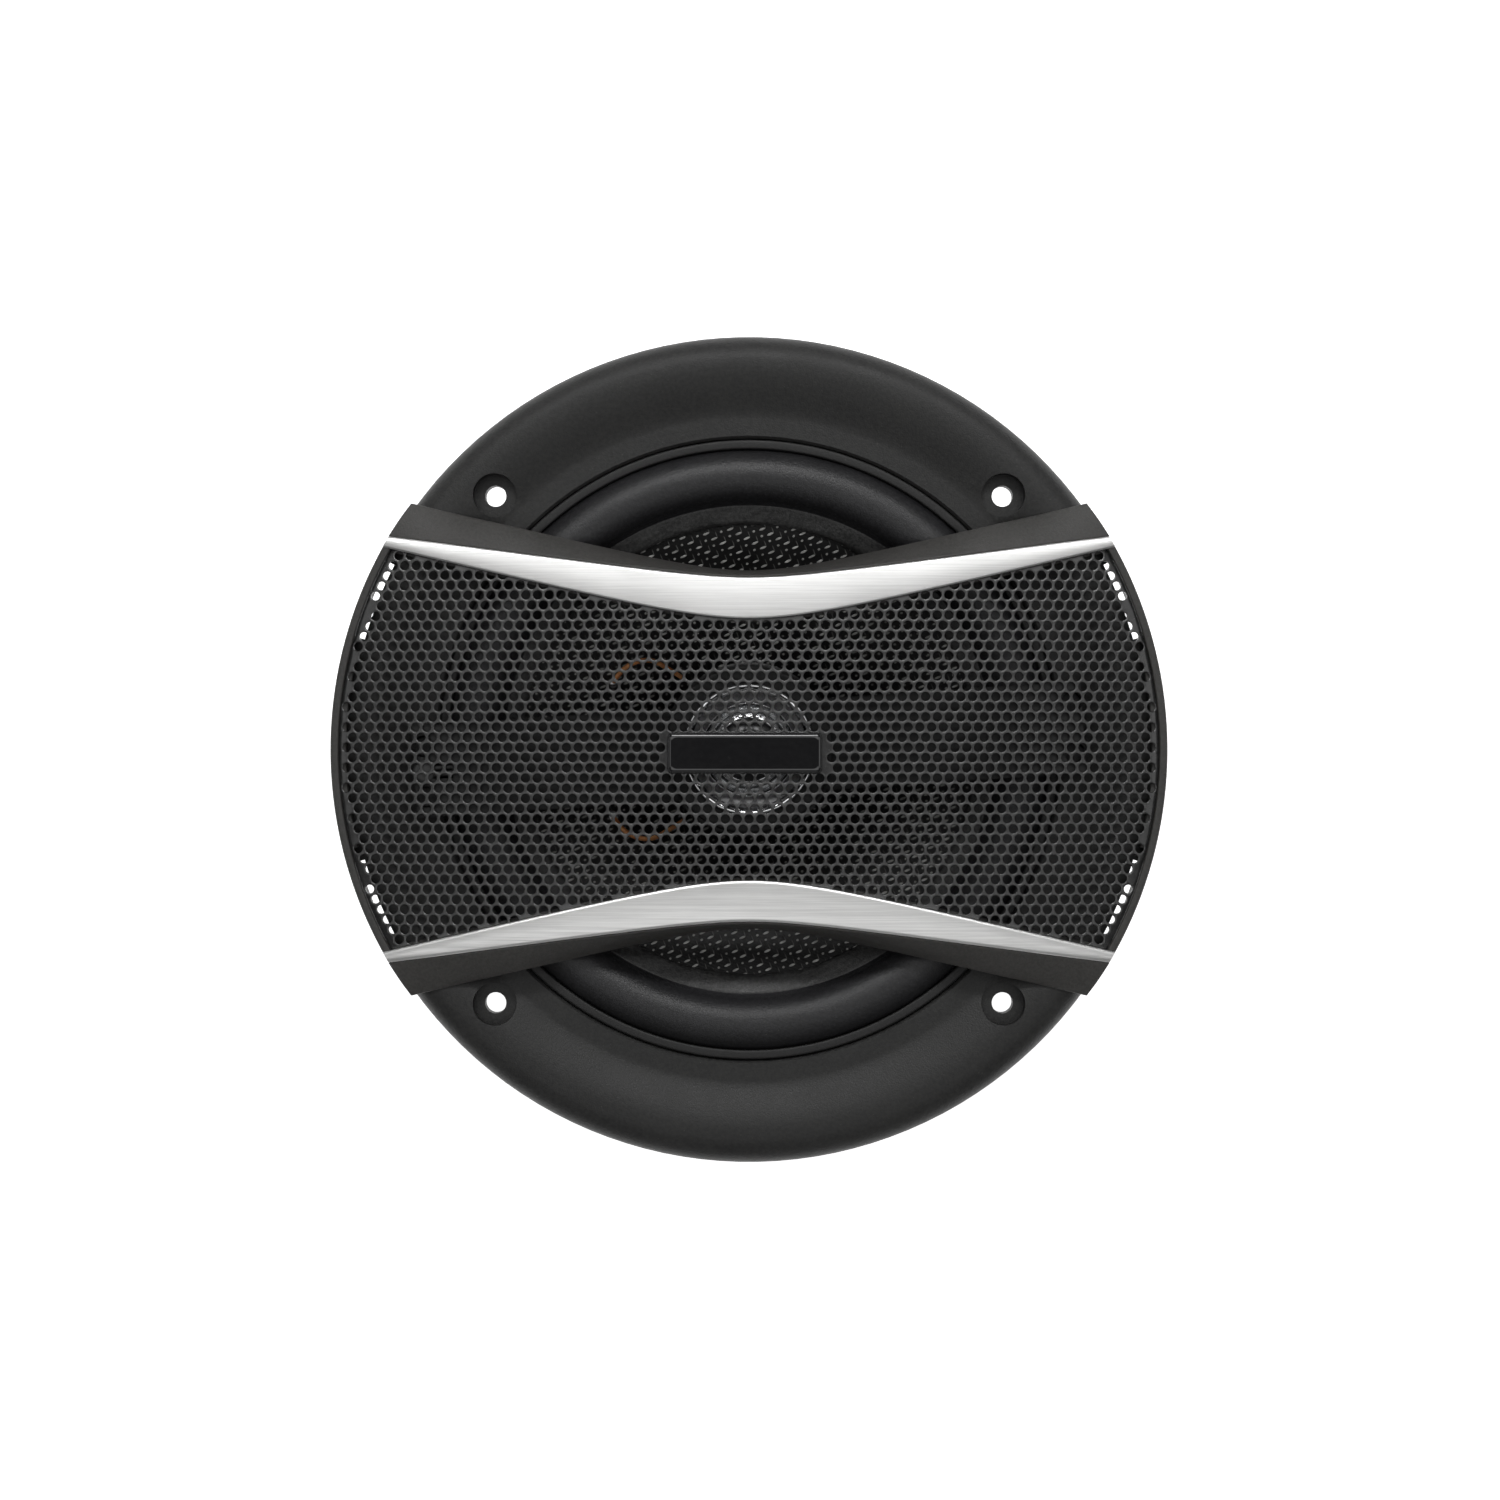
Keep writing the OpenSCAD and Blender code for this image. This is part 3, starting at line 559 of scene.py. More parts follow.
class Pattern(Enum):
    """What covers a surface."""

    MOULDED = "moulded grain"
    PAINT = "sprayed paint"
    RUBBER = "rubber with a bloom"
    BRUSHED = "metal brushed along X"
    TURNED = "metal turned about Z"
    CERAMIC = "sintered and ground"
    CLOTH = "plain weave"
    CONE = "woven cone"
    STRAND = "drawn wire"
    WINDING = "close wound wire"


@dataclass(frozen=True)
class Finish:
    """One finish: its two shades, its gloss and the pattern that varies them."""

    slot: str
    pattern: Pattern
    shade: Colour
    light: Colour
    roughness: tuple[float, float]
    size: float = 0.3
    depth: float = 0.02
    metallic: float = 0.0
    coat: float = 0.0
    coat_roughness: float = 0.1
    specular: float = 0.5
    patch: float = 14.0
    mottle: float = 0.25
    wear: float = 0.25
    dust: float = 0.15
    name: str = ""

    def material(self) -> bpy.types.Material:
        """The finish's material, made the first time it is asked for."""
        name = f"{self.name or self.slot} surface"
        if name in bpy.data.materials:
            return bpy.data.materials[name]
        material = bpy.data.materials.new(name)
        material.use_nodes = True
        s = Sketch(material.node_tree)
        shader = material.node_tree.nodes["Principled BSDF"]
        for socket, number in (("Metallic", self.metallic), ("Coat Weight", self.coat),
                               ("Coat Roughness", self.coat_roughness), ("Specular IOR Level", self.specular)):
            shader.inputs[socket].default_value = number
        place = s.place()
        height, shade, gloss = self.cover(s, place)
        patches = s.effect(EFFECTS.blotch, place, Size=self.patch)["Amount"]
        specks = s.effect(EFFECTS.specks, place, Size=DUST_PITCH)["Mask"]
        worn = Value(s.tree, s.add("ShaderNodeNewGeometry").outputs["Pointiness"]).step(*WORN_EDGE)
        worn = worn * s.noise(place, 1.3, 3.0, 0.6).step(0.35, 0.65)
        colour = s.mix(shade * (1.0 - self.mottle) + patches * self.mottle, self.shade, self.light)
        colour = s.mix(worn * self.wear, colour, tuple(min(1.0, 1.6 * c + 0.03) for c in self.light))
        colour = s.mix(specks * self.dust, colour, DUST_COLOUR)
        low, high = self.roughness
        rough = gloss * (0.6 * (high - low)) + patches * (0.4 * (high - low)) + low + specks * 0.2
        feed(s.tree, colour, shader.inputs["Base Color"])
        feed(s.tree, rough, shader.inputs["Roughness"])
        bump = s.add("ShaderNodeBump")
        bump.inputs["Strength"].default_value = 1.0
        bump.inputs["Distance"].default_value = self.depth * MM
        feed(s.tree, height, bump.inputs["Height"])
        feed(s.tree, bump.outputs[0], shader.inputs["Normal"])
        return material

    def cover(self, s: Sketch, place: bpy.types.NodeSocket) -> tuple[Value, Value, Value]:
        """Height, shade from 0 to 1 and roughness from 0 to 1 of the pattern.

        Args:
            s: The material's tree.
            place: Object coordinates in millimetres.

        Returns:
            The three values.
        """
        grain = s.effect(EFFECTS.grain, place, Size=self.size)
        if self.pattern is Pattern.BRUSHED:
            made = s.effect(EFFECTS.brushed, place, Stretch=BRUSH_STRETCH)
            return made["Height"], made["Streak"], made["Streak"].less_from(1.0)
        if self.pattern is Pattern.TURNED:
            made = s.effect(EFFECTS.turned, place, Size=self.size)
            return made["Height"] + grain["Height"] * 0.15, made["Streak"], made["Streak"].less_from(1.0)
        if self.pattern is Pattern.CLOTH:
            made = s.effect(EFFECTS.cloth, place, Pitch=self.size)
            return made["Height"], made["Gap"].less_from(1.0) * 0.7 + made["Over"] * 0.3, made["Gap"]
        if self.pattern is Pattern.CONE:
            made = s.effect(EFFECTS.cone_weave, place)
            # painted highlight: the yarn marks' glint is painted in as the light colour
            painted_glint = made["Float"] + made["Dot"] * 0.75 + made["Tie"] * 0.16
            return made["Height"], painted_glint.math("MINIMUM", 1.0), painted_glint.step(0.2, 0.8).less_from(1.0)
        if self.pattern is Pattern.WINDING:
            _, _, z = s.split(place)
            turn = (z * (math.pi / self.size)).math("SINE").math("ABSOLUTE")
            return turn, turn, grain["Shade"]
        if self.pattern is Pattern.STRAND:
            drawn = s.noise(s.own("lay"), 3.0, 2.0, 0.6)
            return drawn + grain["Height"] * 0.2, drawn.step(0.3, 0.7), grain["Shade"]
        if self.pattern is Pattern.CERAMIC:
            pits = s.cells(place, 0.9).step(0.30, 0.05) * s.noise(place, 0.25, 3.0, 0.6).step(0.5, 0.62)
            return grain["Height"] - pits * 3.0, grain["Shade"] * 0.6 + pits.less_from(0.4), grain["Shade"]
        if self.pattern is Pattern.RUBBER:
            bloom = s.noise(place, 1.6, 4.0, 0.7)
            return grain["Height"] + bloom * 0.8, bloom.step(0.35, 0.7), grain["Shade"] * 0.5 + bloom * 0.5
        if self.pattern is Pattern.PAINT:
            peel = s.noise(place, 1.1, 2.0, 0.4)
            return peel + grain["Height"] * 0.12, peel.step(0.3, 0.7), peel
        return grain["Height"], grain["Shade"], grain["Shade"]


def grey(level: float, blue: float | None = None) -> Colour:
    """Grey, its blue apart from its red and green where it is given."""
    return level, level, level if blue is None else blue


P = Pattern
FINISHES: dict[str, Finish] = {f.name or f.slot: f for f in (
    Finish("flange_plastic", P.MOULDED, grey(0.017), grey(0.029, 0.028), (0.42, 0.56), 0.34, 0.06,
           specular=0.36, dust=0.10, wear=0.12),
    Finish("grille_plastic", P.MOULDED, (0.032, 0.031, 0.029), (0.054, 0.052, 0.049), (0.46, 0.62), 0.26,
           0.06, dust=0.12, wear=0.10),
    Finish("mesh_steel", P.PAINT, grey(0.010), grey(0.022), (0.20, 0.30), 0.20, 0.003, specular=0.95,
           coat=0.3, dust=0.0, patch=24.0),
    Finish("bright_trim", P.BRUSHED, grey(0.72, 0.71), grey(0.95, 0.94), (0.27, 0.42), 0.2, 0.005,
           metallic=1.0, dust=0.10, wear=0.0, patch=30.0),
    Finish("badge_gloss", P.PAINT, grey(0.004, 0.005), grey(0.007, 0.008), (0.05, 0.10), 0.4, 0.0015,
           coat=1.0, coat_roughness=0.03, dust=0.05, wear=0.05),
    Finish("basket_paint", P.PAINT, grey(0.012, 0.013), grey(0.022, 0.023), (0.30, 0.44), 0.35, 0.02,
           dust=0.12),
    Finish("screw_steel", P.TURNED, grey(0.34, 0.35), grey(0.56, 0.57), (0.26, 0.42), 0.3, 0.01,
           metallic=1.0),
    Finish("gasket_board", P.MOULDED, grey(0.012), grey(0.022), (0.44, 0.6), 0.22, 0.03, specular=0.4),
    Finish("surround_rubber", P.RUBBER, grey(0.012, 0.013), grey(0.026, 0.028), (0.36, 0.50), 0.24, 0.06,
           dust=0.12, wear=0.05),
    # woven_cone's light colour is a painted highlight: the glint of its glossy black yarn
    Finish("woven_cone", P.CONE, grey(0.004), grey(0.54, 0.52), (0.24, 0.50), 0.3, 0.12, specular=0.4,
           dust=0.03, wear=0.0, mottle=0.004),
    Finish("dust_cap_cloth", P.CLOTH, grey(0.008, 0.009), grey(0.035, 0.036), (0.34, 0.5), 0.55, 0.10),
    Finish("spider_cloth", P.CLOTH, (0.20, 0.10, 0.025), (0.62, 0.40, 0.13), (0.48, 0.66), 0.6, 0.10,
           dust=0.05),
    Finish("former_film", P.MOULDED, (0.34, 0.20, 0.07), (0.46, 0.29, 0.11), (0.3, 0.44), 0.5, 0.004),
    Finish("copper_winding", P.WINDING, (0.40, 0.13, 0.045), (0.83, 0.37, 0.17), (0.22, 0.36), 0.22, 0.05,
           metallic=1.0),
    Finish("copper_lead", P.STRAND, (0.60, 0.22, 0.08), (0.95, 0.46, 0.20), (0.26, 0.42), 0.12, 0.01,
           metallic=0.6),
    Finish("eyelet_brass", P.TURNED, (0.56, 0.41, 0.15), (0.78, 0.60, 0.27), (0.24, 0.4), 0.2, 0.008,
           metallic=1.0),
    Finish("tinsel_braid", P.STRAND, (0.46, 0.26, 0.11), (0.78, 0.50, 0.25), (0.28, 0.45), 0.12, 0.01,
           metallic=0.9),
    Finish("plated_steel", P.TURNED, (0.40, 0.41, 0.42), (0.62, 0.63, 0.64), (0.24, 0.44), 0.4, 0.012,
           metallic=1.0, patch=9.0),
    Finish("ferrite", P.CERAMIC, grey(0.022, 0.024), grey(0.050, 0.052), (0.46, 0.7), 0.4, 0.03, wear=0.5,
           dust=0.2),
    Finish("rivet_steel", P.TURNED, grey(0.42, 0.43), grey(0.62, 0.63), (0.26, 0.42), 0.25, 0.01,
           metallic=1.0),
    Finish("board_laminate", P.CLOTH, (0.11, 0.055, 0.022), (0.20, 0.11, 0.045), (0.4, 0.54), 0.35, 0.012),
    Finish("terminal_brass", P.BRUSHED, (0.60, 0.58, 0.50), (0.80, 0.77, 0.66), (0.22, 0.38), 0.2, 0.006,
           metallic=1.0, patch=6.0),
    Finish("capacitor_sleeve", P.PAINT, (0.010, 0.022, 0.085), (0.016, 0.034, 0.12), (0.18, 0.28), 0.3,
           0.004, coat=0.3),
    Finish("bridge_plastic", P.MOULDED, grey(0.006), grey(0.012), (0.48, 0.62), 0.26, 0.04, specular=0.32,
           dust=0.14),
    Finish("bezel_chrome", P.TURNED, (0.72, 0.73, 0.75), grey(0.93, 0.94), (0.05, 0.14), 0.5, 0.002,
           metallic=1.0, dust=0.05, wear=0.0),
    Finish("faceplate_grey", P.MOULDED, grey(0.12, 0.123), grey(0.25, 0.253), (0.32, 0.48), 0.30, 0.08,
           metallic=0.5, dust=0.1),
    Finish("diaphragm_film", P.TURNED, (0.30, 0.31, 0.32), (0.46, 0.47, 0.48), (0.18, 0.3), 0.3, 0.004,
           metallic=0.8),
    # dome_metal comes in two copies: this dark one is painted shade over the dome, and the bright one below is
    # a painted highlight on the dome's rim
    Finish("dome_metal", P.TURNED, grey(0.020, 0.021), grey(0.034, 0.036), (0.22, 0.34), 0.3, 0.004,
           metallic=0.2, wear=0.0),
    Finish("dome_metal", P.TURNED, (0.62, 0.63, 0.64), grey(0.80, 0.81), (0.12, 0.22), 0.3, 0.003,
           metallic=1.0, wear=0.0, name="painted_highlight_dome_rim"),
    Finish("screw_steel", P.TURNED, grey(0.014, 0.015), grey(0.030, 0.031), (0.34, 0.5), 0.3, 0.01,
           metallic=0.3, name="blacked_screw"),
    Finish("lead_insulation", P.RUBBER, grey(0.010), grey(0.020), (0.44, 0.58), 0.3, 0.02,
           name="black_rubber"),
    Finish("neodymium", P.TURNED, grey(0.52, 0.53), grey(0.68, 0.69), (0.18, 0.3), 0.4, 0.004,
           metallic=1.0),
    Finish("lead_insulation", P.STRAND, (0.42, 0.018, 0.014), (0.55, 0.035, 0.025), (0.30, 0.42), 0.3,
           0.006, name="red_insulation"),
    Finish("lead_insulation", P.STRAND, grey(0.012, 0.013), grey(0.022, 0.023), (0.30, 0.42), 0.3, 0.006,
           name="black_insulation"),
    Finish("gasket_board", P.RUBBER, grey(0.010), grey(0.048, 0.047), (0.28, 0.55), 0.30, 0.05,
           name="glue_film", dust=0.1, patch=5.0),
    Finish("eyelet_brass", P.PAINT, grey(0.55, 0.56), grey(0.72), (0.16, 0.3), 0.4, 0.01, metallic=1.0,
           name="solder"),
    Finish("lead_insulation", P.STRAND, (0.62, 0.60, 0.56), (0.80, 0.78, 0.74), (0.24, 0.4), 0.2, 0.006,
           metallic=1.0, name="tinned_copper"),
    Finish("capacitor_sleeve", P.TURNED, grey(0.50, 0.51), grey(0.68, 0.69), (0.26, 0.4), 0.3, 0.008,
           metallic=1.0, name="can_aluminium"),
)}


# --------------------------------------------------------------------------- making pieces


def make_piece(name: str, skin: Skin, finish: str, body: str, replaces: Sequence[str] = (),
               crease: float = 38.0, slot: str | None = None) -> bpy.types.Object:
    """Makes one piece from a skin, merges its seams, points its faces outwards and dresses it.

    Args:
        name: The piece's name.
        skin: Its points and faces in millimetres.
        finish: Name of its finish.
        body: The body it rides on, or "" for none.
        replaces: CAD nodes it stands for.
        crease: Edges sharper than this many degrees stay sharp.
        slot: The record's slot, where it isn't the finish's own; not used.

    Returns:
        The piece.
    """
    mesh = bpy.data.meshes.new(name)
    faces = [row for block in skin.faces for row in block.tolist()]
    mesh.from_pydata(np.concatenate(skin.points) * MM, [], faces)
    lay = mesh.attributes.new("lay", "FLOAT_VECTOR", "POINT")
    marks = np.concatenate(skin.marks)
    lay.data.foreach_set("vector", np.column_stack([marks, np.zeros(len(marks))]).astype(np.float32).ravel())
    bm = bmesh.new()
    bm.from_mesh(mesh)
    bmesh.ops.remove_doubles(bm, verts=bm.verts, dist=2e-6)
    bmesh.ops.dissolve_degenerate(bm, edges=bm.edges, dist=1e-7)
    bmesh.ops.recalc_face_normals(bm, faces=bm.faces)
    bm.to_mesh(mesh)
    bm.free()
    mesh.shade_smooth()
    mesh.set_sharp_from_angle(angle=math.radians(crease))
    piece = bpy.data.objects.new(name, mesh)
    bpy.context.scene.collection.objects.link(piece)
    piece.data.materials.append(FINISHES[finish].material())
    slot or FINISHES[finish].slot
    if body:
        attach(piece, body)
    if replaces:
        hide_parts(*replaces)
    LOG.info("%-24s %6d faces, %s", name, len(mesh.polygons), finish)
    return piece


def make_turned(name: str, profile: Array, segments: int, finish: str, body: str,
                replaces: Sequence[str] = (), slot: str | None = None) -> bpy.types.Object:
    """Makes a piece from a closed outline of (radius, height) turned all round Z."""
    return make_piece(name, Skin().revolve(profile, segments), finish, body, replaces, slot=slot)


def solder_drop(radius: float, base: float, height: float, sunk: float, steps: int, segments: int) -> Skin:
    """Drop of solder about Z: half an ellipse of this radius and height over a short foot.

    Args:
        radius: Radius in millimetres where it meets the surface.
        base: Height of that surface.
        height: Height of the drop above it.
        sunk: How far the foot goes below it.
        steps: Points up the drop.
        segments: Spans round it.

    Returns:
        The drop's skin.
    """
    s = np.linspace(0, 1, steps)
    drop = np.stack([radius * np.sqrt(1 - s**2), base + height * s], -1)
    return Skin().revolve(np.vstack([drop, [(0, base - sunk), (radius, base - sunk)]]), segments)


def blend_radially(piece: bpy.types.Object, fixed_r: float, moving_r: float) -> None:
    """Bakes a ring's placement into its mesh and works out the inner body's weight at each point; the weights
    are not used.

    The weight of the inner body at radius r is ease((fixed_r - r) / (fixed_r - moving_r)).

    Args:
        piece: The ring.
        fixed_r: Radius in millimetres where the inner body's weight is 0.
        moving_r: Radius where the inner body's weight is 1.
    """
    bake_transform(piece)
    co = np.zeros(len(piece.data.vertices) * 3)
    piece.data.vertices.foreach_get("co", co)
    r = np.hypot(*co.reshape(-1, 3)[:, :2].T) / MM
    weight = ease((fixed_r - r) / (fixed_r - moving_r))


def dress_node(node: str, finish: str, edge: float = 0.12) -> bpy.types.Object:
    """Gives a CAD node its finish and soft edges, its own mesh untouched.

    The modifiers merge its loose triangles, join those that lie in one plane and round the edges.

    Args:
        node: The CAD node.
        finish: Name of its finish.
        edge: Width of the rounded edges in millimetres, 0 for none.

    Returns:
        The node's object.
    """
    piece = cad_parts[node]
    piece.data.materials.clear()
    piece.data.materials.append(FINISHES[finish].material())
    weld = piece.modifiers.new("Merged triangles", "WELD")
    weld.merge_threshold = 1e-6
    flat = piece.modifiers.new("Whole faces", "DECIMATE")
    flat.decimate_type, flat.angle_limit = "DISSOLVE", math.radians(0.4)
    if edge:
        bevel = piece.modifiers.new("Soft edges", "BEVEL")
        bevel.width, bevel.segments = edge * MM, 2
        bevel.limit_method, bevel.angle_limit = "ANGLE", math.radians(32.0)
        bevel.use_clamp_overlap = True
        bevel.miter_outer = "MITER_ARC"
    even = piece.modifiers.new("Even shading", "WEIGHTED_NORMAL")
    even.keep_sharp = False
    LOG.info("%-24s kept, %s", node, finish)
    return piece


def dress_nodes(rows: dict[str, tuple[str, float]]) -> None:
    """Dresses CAD nodes, each with its finish and the width of its rounded edges."""
    for node, (finish, edge) in rows.items():
        dress_node(node, finish, edge)


# --------------------------------------------------------------------------- the grille bar


def beside(line: Callable[[Array], Array], across: float) -> Callable[[Array], Array]:
    """An edge line moved outwards by a fixed distance."""
    return lambda x: line(x) + across


@dataclass
class GrilleBar:
    """Bow-tie bar over the cone: plastic frame, perforated sheet, two bright trims and a plain badge."""

    end_r: float = 82.9
    end_wall: float = 1.6
    wall_half_turn: float = 29.9
    crown: float = 16.5
    crown_fall: float = 7.5
    waist_foot: float = 35.4
    waist_outer: float = 33.7
    waist_inner: float = 25.6
    sheet_drop: float = 0.72
    sheet_t: float = 0.6
    pitch: float = 2.31
    hole_r: float = 1.03
    hole_edge: float = 0.15
    hole_roll: float = 0.10
    hole_sides: int = 12
    lattice: tuple[int, int] = (37, 23)
    row_shift: float = 0.38
    badge_at: tuple[float, float] = (-0.8, -0.7)
    badge_size: tuple[float, float] = (30.2, 8.1)

    def foot_y(self, x: Array) -> Array:
        """Half width at the foot: waist + 0.24 (sqrt(x^2 + 12^2) - 12)."""
        return self.waist_foot + 0.24 * (np.hypot(x, 12) - 12)

    def outer_y(self, x: Array) -> Array:
        """Half width to a trim's outer edge: waist + 0.14 (sqrt(x^2 + 12^2) - 12)."""
        return self.waist_outer + 0.14 * (np.hypot(x, 12) - 12)

    def inner_y(self, x: Array) -> Array:
        """Half width to a trim's inner edge: waist + 0.245 (sqrt(x^2 + 15^2) - 15)."""
        return self.waist_inner + 0.245 * (np.hypot(x, 15) - 15)

    def crown_z(self, x: Array, y: Array) -> Array:
        """Height of the crowned face: crown - fall (x^2 + y^2) / r^2, r the inside of the end walls."""
        return self.crown - self.crown_fall * (x * x + y * y) / (self.end_r - self.end_wall) ** 2

    def over(self, lift: float) -> Callable[[Array, Array], Array]:
        """Height of the crowned face raised by a fixed distance, as a function of x and y."""
        return lambda x, y: self.crown_z(x, y) + lift

    def foot_z(self, r: Array) -> Array:
        """Lowest edge of the bar: clear of the roll inside the bore, then down on the flange."""
        return np.where(r < 61.1, 9.6, flange_z(np.minimum(r, 82.3)) + 0.14)

    def brow_z(self, r: Array) -> Array:
        """Lower edge of the bar's slope: 9.65 over the cone, easing down to just above the flange's crest."""
        return 9.65 - 2.3 * ease((r - 61.1) / 15.0)

    def stations(self, line: Callable[[Array], Array], radius: float, count: int) -> tuple[Array, Array]:
        """Points along an edge line, cut off where it meets a circle.

        The end solves x^2 + y(x)^2 = r^2 by repeating x = sqrt(r^2 - y(x)^2), and the stations are
        x = end (0.7 s + 0.3 sin(pi s / 2)) for s from -1 to 1, which is closer towards the ends.

        Args:
            line: Half width y at x.
            radius: Radius of the circle in millimetres.
            count: Number of stations.

        Returns:
            x and y of the stations.
        """
        end = np.array(70.0)
        for _ in range(60):
            end = np.sqrt(radius**2 - line(end) ** 2)
        s = np.linspace(-1, 1, count)
        x = end * (0.7 * s + 0.3 * np.sin(0.5 * np.pi * s))
        return x, line(x)

    def rail(self, corners: Sequence[tuple[Callable[[Array], Array], Callable[[Array, Array], Array], float]],
             radius: float, side: int, count: int = 221, steps: int = 4) -> Skin:
        """Carries a rounded section along the bar.

        Args:
            corners: For each corner of the section its half width y(x), its height z(x, y) and the
                reach of its rounding.
            radius: Circle on which the rail's ends lie.
            side: 1 for the upper rail, -1 for the lower one.
            count: Stations along the rail.
            steps: Spans in each rounding.

        Returns:
            The rail's skin.
        """
        rings = []
        for line, height, _ in corners:
            x, y = self.stations(line, radius, count)
            rings.append(np.stack([x, y, height(x, y)], -1))
        section = soften(np.stack(rings, 1), np.array([c[2] for c in corners]), steps)
        section[..., 1] *= side
        return Skin().grid(section, wrap_cols=True, caps=True)

    def make_frame(self) -> None:
        """Frame: a rail on each side with a shelf for trim and sheet, and a curved wall at each end."""
        foot = lambda x, y: self.foot_z(np.hypot(x, y))
        half = lambda x: 0.5 * (self.foot_y(x) + self.outer_y(x)) + 0.32
        brow = lambda x, y: self.brow_z(np.hypot(x, y))
        half_z = lambda x, y: 0.5 * (brow(x, self.foot_y(x)) + self.crown_z(x, self.outer_y(x))) + 0.2
        trim_seat = self.over(-0.74)
        sheet_seat = self.over(-(self.sheet_drop + self.sheet_t + 0.45))
        underside = self.over(-2.9)
        corners = (
            (self.foot_y, foot, 0.02),
            (self.foot_y, brow, 0.25),
            (half, half_z, 9.0),
            (beside(self.outer_y, 0.42), self.over(0.06), 0.45),
            (beside(self.outer_y, 0.03), self.over(0.05), 0.12),
            (beside(self.outer_y, 0.03), trim_seat, 0.1),
            (beside(self.inner_y, 1.25), trim_seat, 0.1),
            (beside(self.inner_y, 1.25), sheet_seat, 0.1),
            (beside(self.inner_y, -0.6), sheet_seat, 0.25),
            (beside(self.inner_y, -0.6), underside, 0.3),
            (beside(self.outer_y, -1.6), underside, 0.4),
            (beside(self.foot_y, -2.0), foot, 0.3),
        )
        skin = Skin()
        for side in (1, -1):
            rail = self.rail(corners, self.end_r, side)
            skin.add(rail.points[0], rail.faces)
        r0, r1 = self.end_r - self.end_wall, self.end_r
        wall = outline([(r0, 0.6, 0.1), (r1, 0.6, 0.2), (r1, 8.9, 0.7), (r0, 8.9, 0.35)], 6)
        tab = lambda inner, outer, low, high: outline([
            (r0 - inner, low, 0.2), (r0 + outer, low, 0.1),
            (r0 + outer, high, 0.1), (r0 - inner, high, 0.3)])
        ledge, hook = tab(1.4, 0.5, 6.3, 7.5), tab(1.1, 0.8, 0.6, 1.6)
        for turn in (0, 180):
            skin.revolve(wall, 96, (turn - self.wall_half_turn, turn + self.wall_half_turn))
            skin.revolve(ledge, 40, (turn - 14, turn + 14))
            for at in (-8, 8):
                skin.revolve(hook, 8, (turn + at - 2.1, turn + at + 2.1))
        make_piece("bar_frame", skin, "grille_plastic", CHASSIS, ["grille_frame"], crease=42)

    def make_trims(self) -> None:
        """Bright trims: flat strips that follow the crown, with rounded edges."""
        over = self.over
        part = lambda t, dy: lambda x: self.inner_y(x) + t * (self.outer_y(x) - self.inner_y(x)) + dy
        corners = (
            (part(1, 0), over(-0.66), 0.1), (part(1, 0), over(0.27), 0.16), (part(1, -0.42), over(0.46), 0.5),
            (part(0.5, 0), over(0.58), 9.0), (part(0, 0.42), over(0.46), 0.5), (part(0, 0), over(0.2), 0.16),
            (part(0, 0), over(-0.66), 0.1),
        )
        for side, name in ((1, "upper"), (-1, "lower")):
            rail = self.rail(corners, self.end_r - 0.1, side)
            make_piece(f"{name}_bright_trim", rail, "bright_trim", CHASSIS, [f"{name}_trim"], crease=50)

    def sheet_edge(self, x: Array, y: Array) -> tuple[Array, Array, Array]:
        """Pulls points into the sheet's outline: |y| at most the inner edge + 1.1, and then r at most 81.2.

        Args:
            x: Places along the bar.
            y: Places across it.

        Returns:
            x and y inside the outline, and the distance left to it, negative where a point was outside.
        """
        limit = self.inner_y(x) + 1.1
        reach = self.end_r - self.end_wall - 0.1
        left = np.minimum(limit - np.abs(y), reach - np.hypot(x, y))
        y = np.clip(y, -limit, limit)
        shrink = np.minimum(1.0, reach / np.maximum(np.hypot(x, y), 1e-9))
        return x * shrink, y * shrink, left

    def make_sheet(self) -> None:
        """Perforated sheet: six-sided cells on a slanted lattice, each round a hole with a rolled edge.

        Cell centres are (i + odd / 2) pitch along X and j rows of pitch sqrt(3) / 2 across. Corners are
        counted in half pitches and half cell radii, so neighbours share them exactly. The face lies on
        the crown less 0.72, and its rim sinks softly over the last millimetre.
        """
        cell_r = self.pitch / math.sqrt(3)
        sides = self.hole_sides
        i, j = (g.ravel() for g in np.meshgrid(*(np.arange(-n, n + 1) for n in self.lattice)))
        centre_key = np.stack([2 * i + (j % 2 == 0), 3 * j], -1)
        half_steps, shift = np.array([self.pitch / 2, cell_r / 2]), np.array([0.0, self.row_shift])
        to_mm = lambda key: key * half_steps + shift
        ring_key = np.array([(1, 1), (0, 2), (-1, 1), (-1, -1), (0, -2), (1, -1)])
        corner_key = centre_key[:, None] + ring_key[None]
        where = to_mm(corner_key)
        kept = (self.sheet_edge(where[..., 0], where[..., 1])[2] > 0.02).any(1)
        centre, corner_key = to_mm(centre_key[kept]), corner_key[kept]
        keys, index = np.unique(corner_key.reshape(-1, 2), axis=0, return_inverse=True)
        index = index.reshape(-1, 6)
        x, y, _ = self.sheet_edge(*to_mm(keys).T)
        off = np.abs(centre - np.array(self.badge_at)) - np.array(self.badge_size) / 2
        open_cell = (self.sheet_edge(*centre.T)[2] > 1.0) & ~((off[:, 0] < 0.75) & (off[:, 1] < 0.6))
        t = np.arange(sides)
        a = t * TURN / sides
        rim = np.stack([np.cos(a), np.sin(a)], -1)
        holes = centre[open_cell]
        circles = [holes[:, None] + rim[None] * r for r in (self.hole_r, self.hole_r - self.hole_edge)]

        def level(px: Array, py: Array, below: float) -> Array:
            """Height of the sheet: the crown less the drop, sunk by 0.3 ease(1 - edge distance / 1.3)."""
            edge = self.sheet_edge(px, py)[2]
            sunk = 0.3 * ease(1.0 - np.maximum(edge, 0.0) / 1.3)
            return np.stack([px, py, self.crown_z(px, py) - self.sheet_drop - below - sunk], -1)

